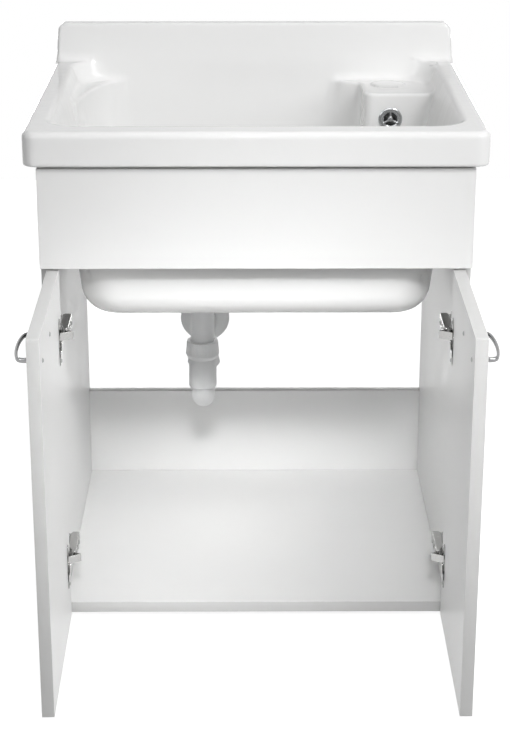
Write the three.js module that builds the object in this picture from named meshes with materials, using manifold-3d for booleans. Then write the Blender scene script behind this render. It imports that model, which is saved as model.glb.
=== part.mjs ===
// A base cabinet with a ceramic laundry sink on it, its two doors standing open.
// Millimetres, +Z up. X runs to the right and Y to the back, as seen by someone facing the doors.
import * as THREE from 'three';
import { mergeVertices } from 'three/addons/utils/BufferGeometryUtils.js';
import Module from 'manifold-3d';

const wasm = await Module();
wasm.setup();

// ---- driving dimensions: cabinet (heights are above the carcass bottom) ----
const board = 16;
const cabinetWidth = 566;
const carcassBack = 508;         // from the closed doors' outer faces to the cabinet's back
const carcassHeight = 647;
const lowBackTop = 155;
const rearRailHeight = 80;
const fasciaHeight = 134;
const fasciaSetdown = 4;         // the fascia's top below the carcass's top
const footHeight = 12;
const footRadius = 15;
const footInset = 45;            // foot centre from the carcass's front, back and sides
const boardGap = 0.1;            // the joint line between boards that are fixed to each other

// ---- driving dimensions: doors and their hinges ----
const doorFasciaGap = 3;
const doorCentreGap = 3;
const doorCarcassGap = 4.3;
const openingAngle = 89.5;       // how far the doors stand open, in degrees
const pivotFromEdge = 11;        // the door turns about this line, inside its own hinge edge
const pivotDepth = 2.5;          // and this far behind its outer face
const hingeFromEnd = 90;         // hinge centre from the door's top and bottom
const cupRadius = 17.3;
const cupDepth = 12;
const cupWall = 1.2;
const cupFromEdge = 22.5;        // cup centre from the door's hinge edge
const cupFlange = 2.7;           // the cup's round lip past its body
const flangeLength = 64;
const flangeThickness = 1.2;
const flangeNear = 4.5;          // the flange's two long edges lie this much further in than the cup
const flangeFar = 15.5;
const cupScrewSpacing = 52;
const cupScrewOffset = 9.5;      // and the screws
const cupScrewLength = 11;
const seatGap = 0.3;             // clearance between pieces that sit in or on each other
const plateThickness = 4;
const plateSetback = 10;         // mounting plate from the carcass's front edge
const plateLength = 44;
const plateWidth = 16;
const plateWingSpan = 40;
const plateWingWidth = 13;
const plateWingThickness = 2;
const plateWingSetback = 37;     // middle of the wings from the carcass's front edge
const plateScrewHead = 3.8;
const plateScrewHeight = 1.4;
const plateScrewFromTip = 6;
const armWidth = 16;
const armHeight = 12.5;
const armSheet = 2.2;
const armPastPlate = 4;
const armNoseRadius = 3.4;
const armNoseOpening = 12;       // the channel is open to this far behind the nose's pin
const armScrewRadius = 2;
const armScrewHead = 4;
const armScrewHeight = 1.7;
const armScrewSetback = 40;
const linkThickness = 2.4;
const linkPinFromEdge = 12;      // link's pin in the cup, from the door's hinge edge
const linkPinDepth = 6.5;        // and in from the door's inner face
const elbowFromEdge = 9.1;       // bend of the link with the door at right angles, same axes
const elbowProjection = 4.3;     // out from the door's inner face
const nosePinStandoff = 14;      // arm's pin from the side board's inner face
const linkEye = 3.1;
const linkKnuckle = 1.6;
const nosePinRadius = 1.2;
const pinClearance = 0.2;

// ---- driving dimensions: handles and screws ----
const handleSpacing = 96;
const handleFromFreeEdge = 28;   // nearer handle screw from the door's free edge
const handleFromTop = 36;        // handle's middle from the door's top
const handleProjection = 21;
const handleThickness = 4.5;
const handleWidth = 6;
const handlePostRadius = 3.6;
const handlePostLength = 9;
const handleScrewRadius = 1.9;
const handleScrewBite = 6;       // how far it goes into the post
const smallScrewRadius = 1.7;
const screwHeadRadius = 3.6;
const screwSlot = 0.9;
const screwClearance = 0.35;

// ---- driving dimensions: sink ----
const sinkSideOverhang = 17;     // past each side of the cabinet
const sinkOverhang = 10;         // past the fascia
const rimHeight = 45.5;
const rimCorner = 18;
const rimEdgeRadius = 9;
const splashHeight = 55.5;       // above the rim's top
const splashTopThickness = 18;
const splashLean = 10;           // how far the splash's face leans back over its height
const splashCorner = 12;
const splashNarrowing = 5;
const frontDeck = 40;
const bowlOverSides = 7;         // the bowl at the rim reaches this far over the side boards
const sinkDepth = 263.5;         // rim top to the underside
const sinkFloor = 12;
const sinkWall = 8;
const bowlDraft = 48;            // how far each side wall leans in from the rim to the floor
const bowlCorner = 45;
const bowlFrontDraft = 12;       // the same for the front and back walls
const bowlBackDraft = 13;
const ledgeDrop = 28.5;          // corner ledges below the rim's top
const ledgeSink = 2;             // their lower ends are inside the bowl's floor by this
// The left ledge's edge: from the bowl's side at the rim, and in front of its back.
const leftLedgeEdge = [[17, 175], [23, 120], [36, 62], [54, 18], [76, 2]];
const blockWidth = 114;          // right-hand ledge: from the bowl's side at the rim to its inner face
const blockDepth = 109;
const blockCorner = 12;
const pilasterFlank = 22;        // run of the pilaster's flank, from its foot on the back wall to its front
const pilasterFront = 20;        // and from there to the block's inner face
const pilasterDepth = 25;
const pilasterSpread = 0.22;     // how fast the flank's foot moves outwards further down
const tapPadRadius = 24.5;
const tapPadHeight = 2.5;
const tapPadFromBack = 43;
const overflowInset = 39;        // overflow's centre from the block's inner face
const overflowDrop = 66;         // overflow's centre below the rim's top
const overflowRadius = 17.3;
const overflowBore = 12;
const overflowBoreDepth = 45;
const rosetteRim = 1;            // the rosette's openings stop this far inside the bore
const rosetteSleeveWall = 1.9;
const rosettePlate = 2.8;

// ---- driving dimensions: waste and trap ----
const drainX = -79;
const drainY = 325;
const drainClearance = 0.5;      // round the strainer's sleeve
const strainerRadius = 35;
const strainerHoles = 6;
const strainerHoleRadius = 4;
const strainerHoleCircle = 12;
const gasketThickness = 4;
const gasketRadius = 27;
const wasteNutHeight = 12;
const wasteSleeve = 22;          // strainer's sleeve below the sink
const tailCone = 7;              // the tailpiece's shoulder and the collar above it
const wasteTube = 21.5;
const wasteNutRadius = 29;
const tubeRadius = 17.5;
const tubeWall = 2;
const tailEnd = 262;             // tailpiece's lower end
const socketTop = 278;
const socketBottom = 226;
const socketWall = 3.2;
const unionWall = 4.2;           // union nuts, at their widest
const unionHeight = 22;
const bendRadius = 35;
const bendTop = 235;             // where the legs of the bend become straight
const outletJoint = 246;
const outletHeight = 275;
const outletElbow = 22;
const rosetteRadius = 39;
const rosetteThickness = 9;

// ---- derived places ----
const base = footHeight;
const halfWidth = cabinetWidth / 2;
const sideInner = halfWidth - board;
const fasciaTop = carcassHeight - fasciaSetdown;
const fasciaBottom = fasciaTop - fasciaHeight;
const doorHeight = fasciaBottom - doorFasciaGap;
const handleHeight = doorHeight - handleFromTop;
const carcassFront = board + doorCarcassGap;
const fasciaFront = carcassFront - board;
const doorWidth = (cabinetWidth - doorCentreGap) / 2;
const sinkFront = fasciaFront - sinkOverhang;
const rimBottom = base + carcassHeight;
const rimTop = rimBottom + rimHeight;
const sinkBottom = rimTop - sinkDepth;
const floorTop = sinkBottom + sinkFloor;
const bowlFront = sinkFront + frontDeck;
const sinkWidth = cabinetWidth + 2 * sinkSideOverhang;
const bowlHalf = sideInner + bowlOverSides;
const blockInner = bowlHalf - blockWidth;
const pilasterEdge = blockInner - pilasterFront;
const pilasterFoot = pilasterEdge - pilasterFlank;
const overflowX = blockInner + overflowInset;
const splashFaceTop = carcassBack - splashTopThickness;
const bowlBack = splashFaceTop - splashLean;
const ledgeTop = rimTop - ledgeDrop;
const drainBore = wasteTube + drainClearance;
const bendTubeRadius = tubeRadius - seatGap;
const socketRadius = tubeRadius + seatGap + socketWall;
const unionRadius = socketRadius + seatGap + unionWall;
const rearLegY = drainY + 2 * bendRadius;

const pivot = [pivotFromEdge, pivotDepth];
const linkPin = [linkPinFromEdge, board - linkPinDepth];
const linkElbow = [elbowFromEdge, board + elbowProjection];
const nosePinSetin = board + nosePinStandoff;

// ---- shape helpers ----
// A closed geometry with only positions, shared corners and outward faces.
function closed(geometry) {
  const bare = geometry.clone();
  bare.deleteAttribute('normal');
  bare.deleteAttribute('uv');
  const merged = mergeVertices(bare, 1e-4);
  const position = merged.attributes.position;
  const index = merged.index.array;
  const [a, b, c] = [new THREE.Vector3(), new THREE.Vector3(), new THREE.Vector3()];
  const kept = [];
  let volume = 0;
  for (let i = 0; i < index.length; i += 3) {
    const corners = [index[i], index[i + 1], index[i + 2]];
    if (new Set(corners).size < 3) continue;
    kept.push(...corners);
    a.fromBufferAttribute(position, corners[0]);
    b.fromBufferAttribute(position, corners[1]);
    c.fromBufferAttribute(position, corners[2]);
    volume += a.dot(b.cross(c));
  }
  if (volume < 0) kept.reverse();
  merged.setIndex(kept);
  return merged;
}

function solid(geometry) {
  const merged = closed(geometry);
  return new wasm.Manifold(new wasm.Mesh({
    numProp: 3,
    vertProperties: new Float32Array(merged.attributes.position.array),
    triVerts: new Uint32Array(merged.index.array),
  }));
}

function geometryOf(manifold) {
  const mesh = manifold.getMesh();
  const geometry = new THREE.BufferGeometry();
  geometry.setAttribute('position', new THREE.BufferAttribute(new Float32Array(mesh.vertProperties), 3));
  geometry.setIndex(new THREE.BufferAttribute(new Uint32Array(mesh.triVerts), 1));
  return geometry;
}

function block(x0, x1, y0, y1, z0, z1) {
  const [width, depth, height] = [Math.abs(x1 - x0), y1 - y0, z1 - z0];
  const box = new THREE.BoxGeometry(width, depth, height);
  return box.translate((x0 + x1) / 2, (y0 + y1) / 2, (z0 + z1) / 2);
}

// A round piece about Z from a list of [radius, height] that runs round its section.
function turned(profile, segments = 24) {
  const points = profile.map(([radius, height]) => new THREE.Vector2(radius, height));
  return new THREE.LatheGeometry(points, segments).rotateX(Math.PI / 2);
}

function ring(inner, outer, bottom, top, segments) {
  return turned([[inner, bottom], [outer, bottom], [outer, top], [inner, top], [inner, bottom]], segments);
}

function disc(radius, bottom, top, segments) {
  return turned([[0, bottom], [radius, bottom], [radius, top], [0, top]], segments);
}

// A round bar along Y, from y0 to y1.
function barAlongY(radius, x, y0, y1, z, segments = 16) {
  return disc(radius, y0, y1, segments).rotateX(-Math.PI / 2).translate(x, 0, z);
}

function outline(points) {
  return new THREE.Shape(points.map(([x, y]) => new THREE.Vector2(x, y)));
}

// Shape in X and Y, raised along Z from bottom to top.
function raised(shape, bottom, top, curveSegments = 12) {
  const options = { depth: top - bottom, bevelEnabled: false, curveSegments };
  return new THREE.ExtrudeGeometry(shape, options).translate(0, 0, bottom);
}

// A round tube that follows a path, with twice 'sides' sides; inner of 0 makes it solid.
function tubeAlong(path, outer, inner, steps, sides = 8) {
  const section = new THREE.Shape().absarc(0, 0, outer, 0, 2 * Math.PI);
  if (inner > 0) section.holes.push(new THREE.Path().absarc(0, 0, inner, 0, 2 * Math.PI, true));
  return new THREE.ExtrudeGeometry(section, { steps, curveSegments: sides, extrudePath: path });
}

function roundedRectangle(x0, x1, y0, y1, radius, z, perCorner = 6) {
  const points = [];
  const corners = [[x1 - radius, y1 - radius], [x0 + radius, y1 - radius],
    [x0 + radius, y0 + radius], [x1 - radius, y0 + radius]];
  corners.forEach(([cx, cy], corner) => {
    for (let i = 0; i <= perCorner; i++) {
      const angle = (corner + i / perCorner) * Math.PI / 2;
      points.push([cx + radius * Math.cos(angle), cy + radius * Math.sin(angle), z]);
    }
  });
  return points;
}

// A solid through rings that all have the same number of points, closed by flat ends.
function loft(rings) {
  const count = rings[0].length;
  const position = rings.flat(2);
  const index = [];
  for (let level = 0; level + 1 < rings.length; level++) {
    for (let i = 0; i < count; i++) {
      const [a, b] = [level * count + i, level * count + (i + 1) % count];
      index.push(a, b, b + count, a, b + count, a + count);
    }
  }
  const last = (rings.length - 1) * count;
  for (let i = 1; i + 1 < count; i++) index.push(0, i + 1, i, last, last + i, last + i + 1);
  const geometry = new THREE.BufferGeometry();
  geometry.setAttribute('position', new THREE.Float32BufferAttribute(position, 3));
  geometry.setIndex(index);
  return geometry;
}

// ---- materials ----
function material(color, roughness, metalness = 0) {
  return new THREE.MeshStandardMaterial({ color, roughness, metalness });
}

const laminate = material(0xeeeeee, 0.45);
const ceramic = material(0xf6f6f6, 0.08);
const whitePlastic = material(0xe4e5e6, 0.4);
const greyPlastic = material(0x8d9093, 0.6);
const rubber = material(0x2b2b2b, 0.8);
const steel = material(0xc4c6c8, 0.3, 1);
const chrome = material(0xdfe1e3, 0.08, 1);

const cabinet = new THREE.Group();

function place(parent, name, geometry, finish) {
  const mesh = new THREE.Mesh(closed(geometry), finish);
  mesh.name = name;
  parent.add(mesh);
  return mesh;
}

const sideName = (side) => (side < 0 ? 'left' : 'right');

// ---- carcass: melamine-faced boards ----
function addCarcass() {
  for (const side of [-1, 1]) {
    const top = rimBottom - boardGap;
    const sidePanel = block(side * sideInner, side * halfWidth, carcassFront, carcassBack, base, top);
    place(cabinet, `side_panel_${sideName(side)}`, sidePanel, laminate);
  }
  const [between, bottomTop] = [sideInner - boardGap, base + board];
  const bottom = block(-between, between, carcassFront, carcassBack, base, bottomTop);
  place(cabinet, 'bottom_panel', bottom, laminate);
  const backFront = carcassBack - board;
  const lowBack = block(-between, between, backFront, carcassBack, bottomTop + boardGap, base + lowBackTop);
  place(cabinet, 'low_back_panel', lowBack, laminate);
  const railTop = rimBottom - boardGap;
  const rail = block(-between, between, backFront, carcassBack, railTop - rearRailHeight, railTop);
  place(cabinet, 'rear_top_rail', rail, laminate);
  const fasciaBack = carcassFront - boardGap;
  const fascia = block(-halfWidth, halfWidth, fasciaFront, fasciaBack, base + fasciaBottom, base + fasciaTop);
  place(cabinet, 'fascia_panel', fascia, laminate);
}

function addFeet() {
  for (const side of [-1, 1]) {
    for (const [end, y] of [['front', carcassFront + footInset], ['rear', carcassBack - footInset]]) {
      const foot = disc(footRadius, 0, footHeight - boardGap, 20);
      foot.translate(side * (halfWidth - footInset), y, 0);
      place(cabinet, `foot_${sideName(side)}_${end}`, foot, greyPlastic);
    }
  }
}

// ---- sink: one piece of glazed ceramic ----
function rimSlab() {
  const level = (inset, z) => {
    const x = sinkWidth / 2 - inset;
    return roundedRectangle(-x, x, sinkFront + inset, carcassBack - inset, rimCorner - inset, z);
  };
  const rings = [level(0, rimBottom)];
  const steps = 3;
  for (let i = 0; i <= steps; i++) {
    const angle = i / steps * Math.PI / 2;
    rings.push(level(rimEdgeRadius * (1 - Math.cos(angle)), rimTop - rimEdgeRadius * (1 - Math.sin(angle))));
  }
  return solid(loft(rings));
}

// The splash is where its side profile, run across, meets its front outline, run back.
function splash() {
  const [foot, top] = [rimTop - 2 * rimEdgeRadius, rimTop + splashHeight];
  const profile = outline([[bowlBack, foot], [carcassBack, foot], [carcassBack, top],
    [splashFaceTop, top], [bowlBack, rimTop]]);
  const across = raised(profile, -sinkWidth / 2, sinkWidth / 2).rotateY(Math.PI / 2).rotateX(Math.PI / 2);
  const [footHalf, topHalf] = [sinkWidth / 2, sinkWidth / 2 - splashNarrowing];
  const front = new THREE.Shape();
  front.moveTo(-footHalf, foot);
  front.lineTo(footHalf, foot);
  front.lineTo(topHalf, top - splashCorner);
  front.absarc(topHalf - splashCorner, top - splashCorner, splashCorner, 0, Math.PI / 2);
  front.absarc(splashCorner - topHalf, top - splashCorner, splashCorner, Math.PI / 2, Math.PI);
  const back = raised(front, -carcassBack - 1, -sinkFront, 6).rotateX(Math.PI / 2);
  return solid(across).intersect(solid(back));
}

// Half width, front, back and corner radius of the bowl's inner face at a share of its depth.
function bowlRing(share, inset, z) {
  const half = bowlHalf - bowlDraft * Math.pow(share, 0.6) - inset;
  const front = bowlFront + bowlFrontDraft * share + inset;
  const back = bowlBack - bowlBackDraft * share - inset;
  return roundedRectangle(-half, half, front, back, bowlCorner, z, 8);
}

function bowlCavity() {
  const depth = rimTop - floorTop;
  const above = 8;
  const rings = [bowlRing(0, 0, rimTop + above), bowlRing(0, 0, rimTop)];
  for (const share of [0.1, 0.2, 0.35, 0.55, 0.75, 0.9]) rings.push(bowlRing(share, 0, rimTop - depth * share));
  rings.push(bowlRing(0.96, 5, floorTop + 6), bowlRing(0.985, 15, floorTop + 1.5), bowlRing(1, 26, floorTop));
  return solid(loft(rings));
}

function bowlOutside() {
  const depth = rimTop - floorTop;
  const startShare = (rimHeight - 4) / depth;
  const rings = [];
  for (const share of [startShare, 0.35, 0.55, 0.75, 0.88]) {
    rings.push(bowlRing(share, -sinkWall, rimTop - depth * share));
  }
  rings.push(bowlRing(0.95, -4, sinkBottom + 12), bowlRing(1, 6, sinkBottom + 4), bowlRing(1, 24, sinkBottom));
  return solid(loft(rings));
}

// Ledge in the left rear corner, with a hollow edge that sweeps from the side wall to the back wall.
function leftLedge() {
  const side = -bowlHalf - sinkWall;
  const back = bowlBack + sinkWall;
  const [first, last] = [leftLedgeEdge[0], leftLedgeEdge.at(-1)];
  const edge = new THREE.CatmullRomCurve3(leftLedgeEdge
    .map(([fromSide, forward]) => new THREE.Vector3(fromSide - bowlHalf, bowlBack - forward, 0)));
  const points = edge.getPoints(12).map((point) => [point.x, point.y]);
  const plan = outline([...points, [last[0] - bowlHalf, back], [side, back], [side, bowlBack - first[1]]]);
  return raised(plan, floorTop - ledgeSink, ledgeTop);
}

// Ledge in the right rear corner, which holds the overflow.
function rightLedge() {
  const [side, back] = [bowlHalf + sinkWall, bowlBack + sinkWall];
  const blockFront = bowlBack - blockDepth;
  const shape = new THREE.Shape();
  shape.moveTo(side, back);
  shape.lineTo(blockInner, back);
  shape.lineTo(blockInner, blockFront + blockCorner);
  shape.absarc(blockInner + blockCorner, blockFront + blockCorner, blockCorner, Math.PI, 1.5 * Math.PI);
  shape.lineTo(side, blockFront);
  return raised(shape, floorTop - ledgeSink, ledgeTop, 5);
}

// Shallow pilaster on that ledge's left, whose flank spreads towards the floor.
function pilaster() {
  const back = bowlBack + sinkWall;
  const front = bowlBack - pilasterDepth;
  const inBlock = blockInner + blockCorner;
  const level = (z) => {
    const foot = pilasterFoot - pilasterSpread * (ledgeTop - z);
    return [[foot, bowlBack, z], [pilasterEdge, front, z], [inBlock, front, z], [inBlock, back, z],
      [foot, back, z]];
  };
  return loft([level(floorTop - ledgeSink), level(ledgeTop)]);
}

function addSink() {
  const outside = rimSlab().add(bowlOutside()).add(splash());
  const ledges = solid(leftLedge()).add(solid(rightLedge())).add(solid(pilaster())).intersect(outside);
  const overflowZ = rimTop - overflowDrop;
  const overflowFace = bowlBack - blockDepth;
  const overflowEnd = overflowFace + overflowBoreDepth;
  const overflow = barAlongY(overflowBore, overflowX, overflowFace - 5, overflowEnd, overflowZ);
  const drain = disc(drainBore, sinkBottom - 5, floorTop + 5, 24).translate(drainX, drainY, 0);
  const tapPad = disc(tapPadRadius, ledgeTop - 1, ledgeTop + tapPadHeight, 24);
  tapPad.translate(overflowX, bowlBack - tapPadFromBack, 0);
  const sink = outside.subtract(bowlCavity()).add(ledges).add(solid(tapPad))
    .subtract(solid(overflow)).subtract(solid(drain));
  place(cabinet, 'ceramic_sink', geometryOf(sink), ceramic);
}

// ---- overflow rosette: a pressed ring with three spokes on a short sleeve ----
function addOverflowRosette() {
  const [hub, rimInner, spokeHalf] = [4, overflowBore - rosetteRim, 0.17];
  const plate = new THREE.Shape().absarc(0, 0, overflowRadius, 0, 2 * Math.PI);
  for (let i = 0; i < 3; i++) {
    const [start, end] = [0, 1].map((step) => Math.PI / 2 + (i + step) * 2 * Math.PI / 3);
    const window = new THREE.Path();
    window.absarc(0, 0, rimInner, start + spokeHalf, end - spokeHalf);
    window.absarc(0, 0, hub, end - 2 * spokeHalf, start + 2 * spokeHalf, true);
    window.closePath();
    plate.holes.push(window);
  }
  const face = raised(plate, seatGap, rosettePlate, 8);
  const sleeveOuter = overflowBore - seatGap;
  const sleeve = ring(sleeveOuter - rosetteSleeveWall, sleeveOuter, -12, 1.5, 24);
  const rosette = geometryOf(solid(face).add(solid(sleeve)));
  rosette.rotateX(Math.PI / 2).translate(overflowX, bowlBack - blockDepth, rimTop - overflowDrop);
  place(cabinet, 'overflow_rosette', rosette, chrome);
}

// ---- waste: strainer above the floor, nut and gasket below it ----
function addWaste() {
  const outlet = new THREE.Group();
  outlet.position.set(drainX, drainY, 0);
  cabinet.add(outlet);
  const flangeTop = floorTop + 2.5;
  const sleeveBottom = sinkBottom - wasteSleeve;
  const sleeveInner = wasteTube - tubeWall;
  const cupBottom = floorTop - 6;
  const cupFloor = cupBottom + tubeWall;
  const cup = turned([[strainerRadius, floorTop + seatGap], [strainerRadius - 2, flangeTop],
    [sleeveInner + 2, flangeTop - 1], [sleeveInner, cupFloor], [0, cupFloor], [0, cupBottom],
    [sleeveInner, cupBottom], [sleeveInner, sleeveBottom], [wasteTube, sleeveBottom],
    [wasteTube, floorTop + seatGap], [strainerRadius, floorTop + seatGap]]);
  let strainer = solid(cup);
  for (let i = 0; i < strainerHoles; i++) {
    const angle = i / strainerHoles * 2 * Math.PI;
    const hole = disc(strainerHoleRadius, cupBottom - 1, cupFloor + 1, 8);
    hole.translate(strainerHoleCircle * Math.cos(angle), strainerHoleCircle * Math.sin(angle), 0);
    strainer = strainer.subtract(solid(hole));
  }
  place(outlet, 'waste_strainer', geometryOf(strainer), chrome);
  const bore = wasteTube + seatGap;
  const gasketBottom = sinkBottom - gasketThickness;
  place(outlet, 'waste_gasket', ring(bore, gasketRadius, gasketBottom, sinkBottom - seatGap), rubber);
  const [nutBottom, nutTop] = [gasketBottom - wasteNutHeight, gasketBottom - seatGap];
  const nutBore = disc(bore, nutBottom - 1, nutTop + 1, 24);
  const nut = solid(disc(wasteNutRadius, nutBottom, nutTop, 8)).subtract(solid(nutBore));
  place(outlet, 'waste_nut', geometryOf(nut), whitePlastic);
  const [tailBore, collar, lower] = [tubeRadius - tubeWall, wasteTube + 3, base + tailEnd];
  const cone = turned([[tailBore, lower], [tubeRadius, lower], [tubeRadius, sleeveBottom - tailCone - 9],
    [collar, sleeveBottom - tailCone - 3], [collar, sleeveBottom + 3], [bore, sleeveBottom + 3],
    [bore, sleeveBottom - seatGap], [tailBore, sleeveBottom - tailCone - 5], [tailBore, lower]]);
  place(outlet, 'tailpiece', cone, whitePlastic);
}

// ---- trap: tailpiece socket, bend, outlet pipe and their union nuts ----
function pathInYZ(points) {
  const path = new THREE.CurvePath();
  for (const part of points) path.add(part);
  return path;
}

const at = (y, z) => new THREE.Vector3(drainX, y, z);

function quarterTurn(fromY, fromZ, cornerY, cornerZ, toY, toZ) {
  const share = 0.5523;
  const toward = (start, corner) => start + (corner - start) * share;
  return new THREE.CubicBezierCurve3(at(fromY, fromZ), at(toward(fromY, cornerY), toward(fromZ, cornerZ)),
    at(toward(toY, cornerY), toward(toZ, cornerZ)), at(toY, toZ));
}

function trapBend() {
  const [legs, low] = [base + bendTop, base + bendTop - bendRadius];
  const middle = drainY + bendRadius;
  const path = pathInYZ([new THREE.LineCurve3(at(drainY, legs + 12), at(drainY, legs)),
    quarterTurn(drainY, legs, drainY, low, middle, low),
    quarterTurn(middle, low, rearLegY, low, rearLegY, legs),
    new THREE.LineCurve3(at(rearLegY, legs), at(rearLegY, base + outletJoint))]);
  const inner = bendTubeRadius - tubeWall;
  const bendSteps = 18;
  const outside = solid(tubeAlong(path, bendTubeRadius, 0, bendSteps));
  const collarTop = base + outletJoint;
  const upright = (radius, bottom, top, y, segments) => (
    solid(disc(radius, bottom, top, segments).translate(drainX, y, 0)));
  const socket = upright(socketRadius, base + socketBottom, base + socketTop, drainY, 24);
  const seat = upright(tubeRadius + seatGap, base + tailEnd - 2, base + socketTop + 1, drainY, 24);
  const legBore = upright(inner, legs + 11, base + tailEnd, drainY, 16);
  const endBore = upright(inner, collarTop - 1, collarTop + 1, rearLegY, 16);
  const bore = solid(tubeAlong(path, inner, 0, bendSteps));
  return geometryOf(outside.add(socket).subtract(bore).subtract(seat).subtract(legBore).subtract(endBore));
}

function addTrap() {
  const nutBore = tubeRadius + seatGap;
  const lip = base + socketTop;
  const wrap = socketRadius + seatGap;
  const frontNut = turned([[nutBore, lip + seatGap], [wrap, lip + seatGap], [wrap, lip - 5],
    [wrap + 1.4, lip - 5], [unionRadius, lip + 2], [unionRadius - 1.1, lip + 12],
    [unionRadius - 2, lip + unionHeight], [nutBore, lip + unionHeight], [nutBore, lip + seatGap]]);
  place(cabinet, 'trap_nut_front', frontNut.translate(drainX, drainY, 0), whitePlastic);
  place(cabinet, 'trap_bend', trapBend(), whitePlastic);
  const [jointZ, pipeZ] = [base + outletJoint + seatGap, base + outletHeight];
  const elbowStart = pipeZ - outletElbow;
  const elbowEnd = rearLegY + outletElbow;
  const path = pathInYZ([new THREE.LineCurve3(at(rearLegY, jointZ), at(rearLegY, elbowStart)),
    quarterTurn(rearLegY, elbowStart, rearLegY, pipeZ, elbowEnd, pipeZ),
    new THREE.LineCurve3(at(elbowEnd, pipeZ), at(carcassBack - 1, pipeZ))]);
  const pipe = tubeAlong(path, bendTubeRadius, bendTubeRadius - tubeWall, 16);
  place(cabinet, 'outlet_pipe', pipe, whitePlastic);
  const rearBore = bendTubeRadius + seatGap;
  const [nutBottom, nutTop] = [base + bendTop + 1, elbowStart - 0.5];
  const rearNut = turned([[rearBore, nutBottom], [unionRadius - 2.5, nutBottom], [unionRadius, nutBottom + 4],
    [unionRadius - 1, nutBottom + 10], [unionRadius - 3.5, nutTop], [rearBore, nutTop], [rearBore, nutBottom]]);
  place(cabinet, 'trap_nut_rear', rearNut.translate(drainX, rearLegY, 0), whitePlastic);
  const dome = turned([[rearBore, 0], [rosetteRadius, 0], [rosetteRadius - 2, 3],
    [rearBore + 5, rosetteThickness], [rearBore, rosetteThickness], [rearBore, 0]]);
  dome.rotateX(Math.PI / 2).translate(drainX, carcassBack, pipeZ);
  place(cabinet, 'wall_rosette', dome, whitePlastic);
}

// ---- doors, their handles and their concealed hinges ----
// Plan places on a closed door: 'in' from the cabinet's outer side, 'back' from the doors' faces.
const hingeHeights = [['upper', base + doorHeight - hingeFromEnd], ['lower', base + hingeFromEnd]];
const nosePin = nosePinPlace();

// The arm's pin is as far from the link's pin with the door closed as with it at right angles.
function nosePinPlace() {
  const [x, y] = [linkPin[0] - pivotFromEdge, linkPin[1] - pivotDepth];
  const [middleX, middleY] = [(x + y) / 2, (y - x) / 2];
  const reach = (nosePinSetin - pivotFromEdge - middleX) / middleX;
  return [nosePinSetin, pivotDepth + middleY * (1 + reach)];
}

// How far the link turns, as a share of the door's turn.
function linkRatio() {
  const [nx, ny] = [nosePin[0] - pivotFromEdge, nosePin[1] - pivotDepth];
  const [x, y] = [linkPin[0] - pivotFromEdge, linkPin[1] - pivotDepth];
  const shut = Math.atan2(y - ny, x - nx);
  const open = Math.atan2(-x - ny, y - nx);
  return (open - shut) / (Math.PI / 2);
}

// A shape drawn in 'in' and 'back', moved so that a turning line is its origin, and raised along Z.
function planPiece(side, points, origin, bottom, top) {
  const moved = points.map(([inward, back]) => [side * (origin[0] - inward), back - origin[1]]);
  return raised(outline(moved), bottom, top);
}


// A round piece whose axis runs through the door, from 'back' y0 to y1, in the door's own axes.
function throughDoor(side, radius, inward, y0, y1, z, segments = 16) {
  return barAlongY(radius, side * (pivot[0] - inward), y0 - pivot[1], y1 - pivot[1], z, segments);
}

const cupScrewPlaces = (height) => [-1, 1]
  .map((way) => [cupFromEdge + cupScrewOffset, height + way * cupScrewSpacing / 2]);
const handlePlaces = [handleFromFreeEdge, handleFromFreeEdge + handleSpacing].map((free) => doorWidth - free);

function doorBoard(side) {
  const [edge, freeEdge] = [side * pivot[0], side * (pivot[0] - doorWidth)];
  let door = solid(block(edge, freeEdge, -pivot[1], board - pivot[1], base, base + doorHeight));
  for (const [, height] of hingeHeights) {
    const boreFloor = board - cupDepth - seatGap;
    const bore = throughDoor(side, cupRadius + seatGap, cupFromEdge, boreFloor, board + 1, height, 24);
    door = door.subtract(solid(bore));
    for (const [inward, z] of cupScrewPlaces(height)) {
      const hole = throughDoor(side, smallScrewRadius + screwClearance, inward, 4, board + 1, z, 8);
      door = door.subtract(solid(hole));
    }
  }
  const handleZ = base + handleHeight;
  for (const inward of handlePlaces) {
    const hole = throughDoor(side, handleScrewRadius + screwClearance, inward, -1, board + 1, handleZ, 8);
    door = door.subtract(solid(hole));
  }
  return geometryOf(door);
}

function hingeCup(side, height) {
  const mouth = cupRadius - cupWall;
  const [floor, face] = [board - cupDepth, board + seatGap];
  const faceTop = face + flangeThickness;
  const [near, far] = [flangeNear, flangeFar].map((inward) => side * (pivot[0] - cupFromEdge - inward));
  const [low, high] = [height - flangeLength / 2, height + flangeLength / 2];
  const flange = raised(outline([[near, low], [far, low], [far, high], [near, high]]),
    pivot[1] - faceTop, pivot[1] - face).rotateX(Math.PI / 2);
  const lip = throughDoor(side, cupRadius + cupFlange, cupFromEdge, face, faceTop, height, 24);
  let cup = solid(throughDoor(side, cupRadius, cupFromEdge, floor, faceTop, height, 24));
  cup = cup.add(solid(lip)).add(solid(flange));
  cup = cup.subtract(solid(throughDoor(side, mouth, cupFromEdge, floor + cupWall, faceTop + 1, height, 24)));
  for (const [inward, z] of cupScrewPlaces(height)) {
    const hole = throughDoor(side, smallScrewRadius + screwClearance, inward, face - 1, faceTop + 1, z, 8);
    cup = cup.subtract(solid(hole));
  }
  return geometryOf(cup);
}

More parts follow.
